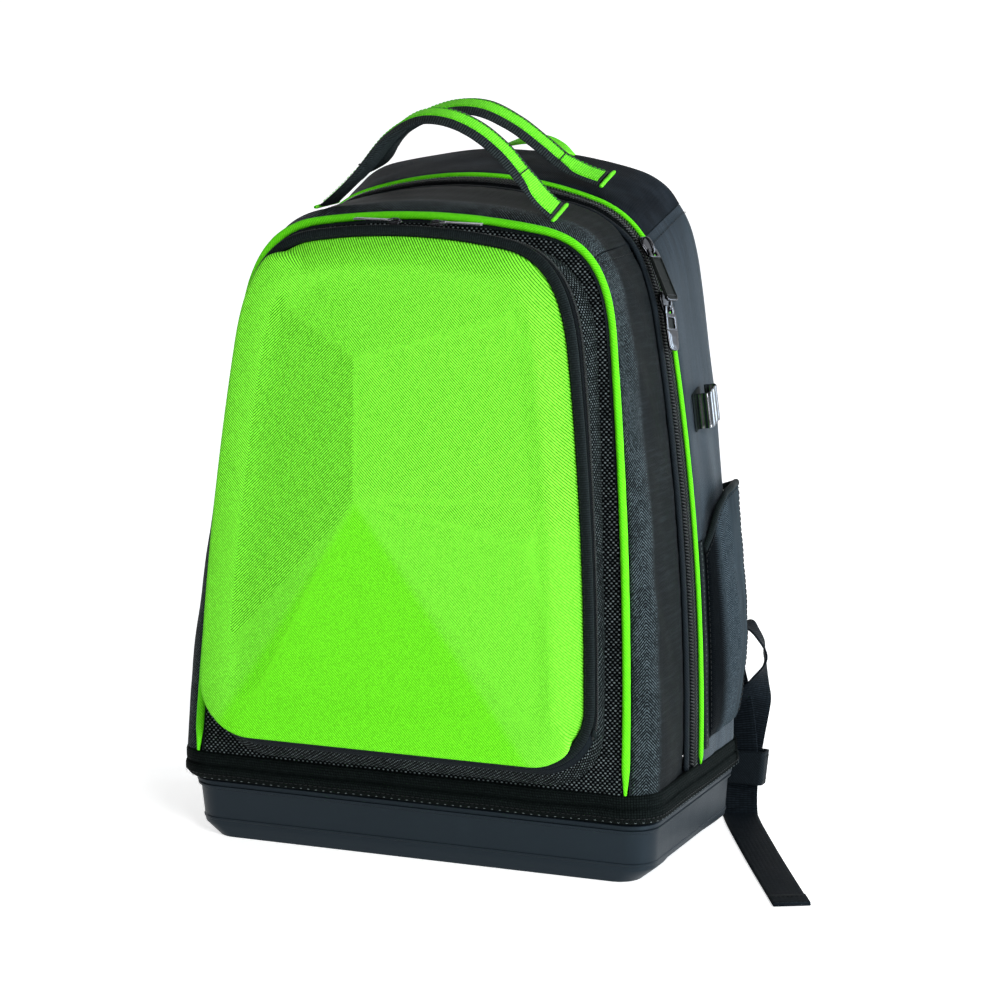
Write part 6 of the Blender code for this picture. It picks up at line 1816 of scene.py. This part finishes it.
soft_pad("back_pad_foam", "back_pad", 108.0, 86.0, 162.0, 404.0, 26.0, 1.6, 13.0, "mesh", "mesh_pad",
                   (("x", 0.0, 5.0), ("z", 222.0, 4.0), ("z", 283.0, 4.0), ("z", 344.0, 4.0)))
soft_pad("lumbar_pad_foam", "lumbar_pad", 160.0, 132.0, 60.0, 150.0, 24.0, 8.0, 13.0, "mesh", "mesh_pad",
                   (("x", 54.0, 4.0),))
soft_pad("strap_yoke_patch", "strap_yoke", 84.0, 72.0, 410.0, 442.0, 9.0, 1.6, 3.4, "ballistic", "black_nylon", n=8)


def bound_strap(name, table, node):
    """Padded strap with bound rims: a full middle, thin sewn edges."""
    rows, el, er, nn3 = [], [], [], []
    for p, tan, w, nrm, ww, tt, t in frames_on(table, 18, floor=False):
        ring = []
        for i in range(40):
            a = 2 * math.pi * i / 40
            c, s = math.cos(a), math.sin(a)
            x = (ww / 2 - 1.2) * math.copysign(abs(c) ** 0.6, c)
            edge = smooth01((1.0 - abs(x) / (ww / 2)) / 0.24)
            hgt = tt / 2 * (0.22 + 0.78 * edge)
            y = hgt * math.copysign(abs(s) ** 0.45, s)
            wr = 0.45 * n3(p + w * x, 0.03, 0.05, 0.05, 121.0) * edge
            ring.append(p + w * x + nrm * (y + wr * (1 if s > 0 else -1)))
        rows.append(ring)
        el.append((p - w * (ww / 2 - 1.6), w, nrm, tt))
        er.append((p + w * (ww / 2 - 1.6), w, nrm, tt))
    outer = sum(q[2].y for q in el) > 0      # cloth on the face away from the wearer, mesh on the other
    pick = lambda i, j: 0 if (0 <= j < 20) == outer else 1
    ob = grid(name, rows, ["ballistic", "mesh"], closed=True, caps=True, reps=(node,), slot="black_nylon", pick=pick)
    for tag, line in (("a", el), ("b", er)):
        tube = [[p + w * (2.0 * math.cos(2 * math.pi * j / 10)) + n * (1.9 * math.sin(2 * math.pi * j / 10)) for j in range(10)] for p, w, n, tt in line]
        grid(name + "_rim_" + tag, tube, "binding", closed=True, caps=True, slot="binding")
    return ob


for side, tag in ((1, "right"), (-1, "left")):
    table = SHOULDER_STRAP if side > 0 else mirrored(SHOULDER_STRAP)
    bound_strap("shoulder_strap_%s_foam" % tag, table, "shoulder_strap_" + tag)
    web = WEB_UP + (WEB_DOWN_RIGHT if side > 0 else WEB_DOWN_LEFT)
    if side < 0:
        web = mirrored(web)
    fl = frames_on(web, 14)
    rows = []
    total = len(fl) - 1
    for i, (p, tan, w, nrm, ww, tt, t) in enumerate(fl):
        end = 1.0
        curl = 0.10 * n3(p, 0.03, 0.03, 0.03, 131.0)
        ring = [p + w * a + nrm * b for a, b in rounded_strip(25.0, 1.5, 10, 4)]
        if p.z < 3:
            ring = [Vector((q.x, q.y, max(0.08, q.z))) for q in ring]
        rows.append(ring)
    ob = grid("webbing_%s_tape" % tag, rows, "web_black", closed=True, caps=True, reps=("webbing_" + tag,), slot="black_webbing", u_from=0)
    # hem at the free end: the tape folded back and sewn
    hem = [q for q in fl if (q[0] - fl[-1][0]).length < 24.0 and q[0].z < 5]
    rows = []
    for p, tan, w, nrm, ww, tt, t in hem:
        up = Vector((0, 0, 1))
        rows.append([p + w * a + up * (1.35 + b) for a, b in rounded_strip(24.6, 1.1, 10, 4)])
    if len(rows) > 2:
        grid("webbing_%s_hem" % tag, rows, "web_black", closed=True, caps=True, slot="black_webbing")
        for k in (1, 4):
            q = hem[min(k, len(hem) - 1)]
            pts = [q[0] + q[2] * lerp(-11.0, 11.0, f / 10) + Vector((0, 0, 2.0)) for f in range(11)]
            THREAD.line(pts, [Vector((0, 0, 1))] * 11, 3.0, 2.2, 0.3)
    # ladder lock: outer frame with two slots
    fr = lambda a, b, c, side=side: lock_pt(a, b, c, side)
    fl2 = lambda x0, x1, y0, y1, r: rect_loop(x0, x1, y0, y1, r, 6)
    lower = fl2(-16.6, 16.6, -11.6, 0.6, 2.4)
    plate("ladder_lock_%s_low" % tag, lower, -1.9, 1.9, fr, "buckle", hole=fl2(-13.4, 13.4, -8.2, -2.2, 1.0), r=0.8, reps=("ladder_lock_" + tag,), slot="black_plastic")
    plate("ladder_lock_%s_high" % tag, fl2(-16.6, 16.6, -0.6, 12.0, 2.4), -1.9, 1.9, fr, "buckle", hole=fl2(-13.4, 13.4, 1.9, 8.4, 1.0), r=0.8, slot="black_plastic")
    # stitched sleeve over the webbing at the tray
    cx = side * 165.3
    rows = []
    for k in range(15):
        c = lerp(23.0, 47.0, k / 14)
        ring = []
        for a, b in rect_loop(-18.0, 18.0, 100.6, 113.4, 3.2, 6):
            wv = 0.3 * n3((cx + a, b, c), 0.08, 0.08, 0.08, 141.0)
            ring.append(Vector((cx + a + side * (c - 34.0) * 0.10 + wv, b + wv, c)))
        rows.append(ring)
    inner_rows = []
    for k in (14, 10, 4, 0):
        c = lerp(23.0, 47.0, k / 14)
        inner_rows.append([Vector((cx + a * 0.93 + side * (c - 34.0) * 0.10, 107.0 + (b - 107.0) * 0.80, c)) for a, b in rect_loop(-18.0, 18.0, 100.6, 113.4, 3.2, 6)])
    grid("strap_keeper_%s_sleeve" % tag, rows + inner_rows, "plain_black", closed=True, loop=True, inside=(cx, 107.0, 35.0), reps=("strap_keeper_" + tag,), slot="black_nylon")
    for c in (26.5, 43.5):
        pts = [Vector((cx + lerp(-16, 16, i / 12) + side * (c - 34.0) * 0.10, 113.7, c)) for i in range(13)]
        THREAD.line(pts, [Vector((0, 1, 0))] * 13, 3.2, 2.3, 0.3)
        pts = [Vector((cx + side * 18.2 + side * (c - 34.0) * 0.10, lerp(102.0, 112.0, i / 6), c)) for i in range(7)]
        THREAD.line(pts, [Vector((side, 0, 0))] * 7, 3.2, 2.3, 0.3)

# seams: points along a line beside the joins of the strips, with no stitches laid on them; then the gathered stitches
# are built
for us, line, f in ((HI_ALL, (3, 7.0), 0), ):
    pts, nr = [], []
    for u in us:
        p, d, n = body_frame(u, along(u, line))
        pts.append(p + n * (CLOTH / 2 + 0.55))
        nr.append(n)
THREAD.build(slot="black_webbing")
THREAD_GREEN.build(slot="green_webbing")
THREAD_GREY.build(slot="black_webbing")

# ---------------------------------------------------------------- floor, light, camera
prof = [(-9.0, 0.0), (2.6, 0.0)] + [(2.6 + 1.6 * math.sin(math.radians(a)), 1.6 - 1.6 * math.cos(math.radians(a))) for a in range(6, 91, 6)] + [(4.2, 9.0)]
floor = bpy.data.meshes.new("floor")
floor.from_pydata([(x, y, z) for y, z in prof for x in (-12.0, 12.0)], [], [(2 * i, 2 * i + 1, 2 * i + 3, 2 * i + 2) for i in range(len(prof) - 1)])
floor.polygons.foreach_set("use_smooth", [True] * len(floor.polygons))
floor_ob = bpy.data.objects.new("floor", floor)
bpy.context.scene.collection.objects.link(floor_ob)
floor_ob.location.z = -0.0002
fm = Mat("pale_floor", 0.9, 0.05)
floor.materials.append(fm.done(fm.colour(fm.noise(3.0), (0.80, 0.80, 0.80), (0.83, 0.83, 0.83))))
fm.b.inputs["Emission Color"].default_value = (1.0, 1.0, 1.0, 1.0)
fm.b.inputs["Emission Strength"].default_value = 0.64

world = bpy.data.worlds.new("studio")
bpy.context.scene.world = world
world.use_nodes = True
wt = world.node_tree
bg = wt.nodes["Background"]
bg.inputs[0].default_value = (1.0, 1.0, 1.0, 1.0)
sky = wt.nodes.new("ShaderNodeTexCoord")
split = wt.nodes.new("ShaderNodeSeparateXYZ")
ramp = wt.nodes.new("ShaderNodeMapRange")
ramp.inputs["From Min"].default_value = 0.0
ramp.inputs["From Max"].default_value = 0.8
ramp.inputs["To Min"].default_value = 0.30
ramp.inputs["To Max"].default_value = 0.10
wt.links.new(sky.outputs["Generated"], split.inputs[0])
wt.links.new(split.outputs[2], ramp.inputs["Value"])
wt.links.new(ramp.outputs[0], bg.inputs[1])


def area(name, at, aim, size, power, colour=(1, 1, 1)):
    light = bpy.data.lights.new(name, "AREA")
    light.shape = "RECTANGLE"
    light.size, light.size_y = size
    light.energy = power
    light.color = colour
    ob = bpy.data.objects.new(name, light)
    bpy.context.scene.collection.objects.link(ob)
    ob.location = at
    ob.rotation_euler = (Vector(aim) - Vector(at)).to_track_quat("-Z", "Y").to_euler()
    return ob


area("key_right", (1.7, -2.0, 1.5), (0, 0, 0.25), (0.8, 1.0), 55.0)
area("side_back", (2.1, 1.1, 0.8), (0.1, 0, 0.25), (0.7, 1.4), 40.0, (0.78, 0.91, 1.0))
area("low_strip", (1.9, -0.78, 0.14), (0.12, -0.05, 0.03), (0.3, 0.2), 22.0, (0.82, 0.94, 1.0))
area("fill_left", (-1.6, -2.2, 1.6), (0, 0, 0.25), (1.4, 1.2), 6.0)

AZ, EL, FOC, DIST, OX, OY = math.radians(22.3), math.radians(10.5), 3480.0, 2430.0, 467.0, 827.0
back = Vector((math.sin(AZ) * math.cos(EL), -math.cos(AZ) * math.cos(EL), math.sin(EL)))
right = Vector((math.cos(AZ), math.sin(AZ), 0.0))
up = right.cross(-back)
pos = back * DIST - right * ((OX - 500.0) / FOC * DIST) + up * ((OY - 500.0) / FOC * DIST)
cam = bpy.data.cameras.new("camera")
cam.sensor_width = 36.0
cam.lens = 36.0 * FOC / 1000.0
cam_ob = bpy.data.objects.new("camera", cam)
bpy.context.scene.collection.objects.link(cam_ob)
rot = Matrix((right, up, back)).transposed().to_4x4()
cam_ob.matrix_world = Matrix.Translation(pos * MM) @ rot
bpy.context.scene.camera = cam_ob
bpy.context.scene.view_settings.view_transform = "Standard"
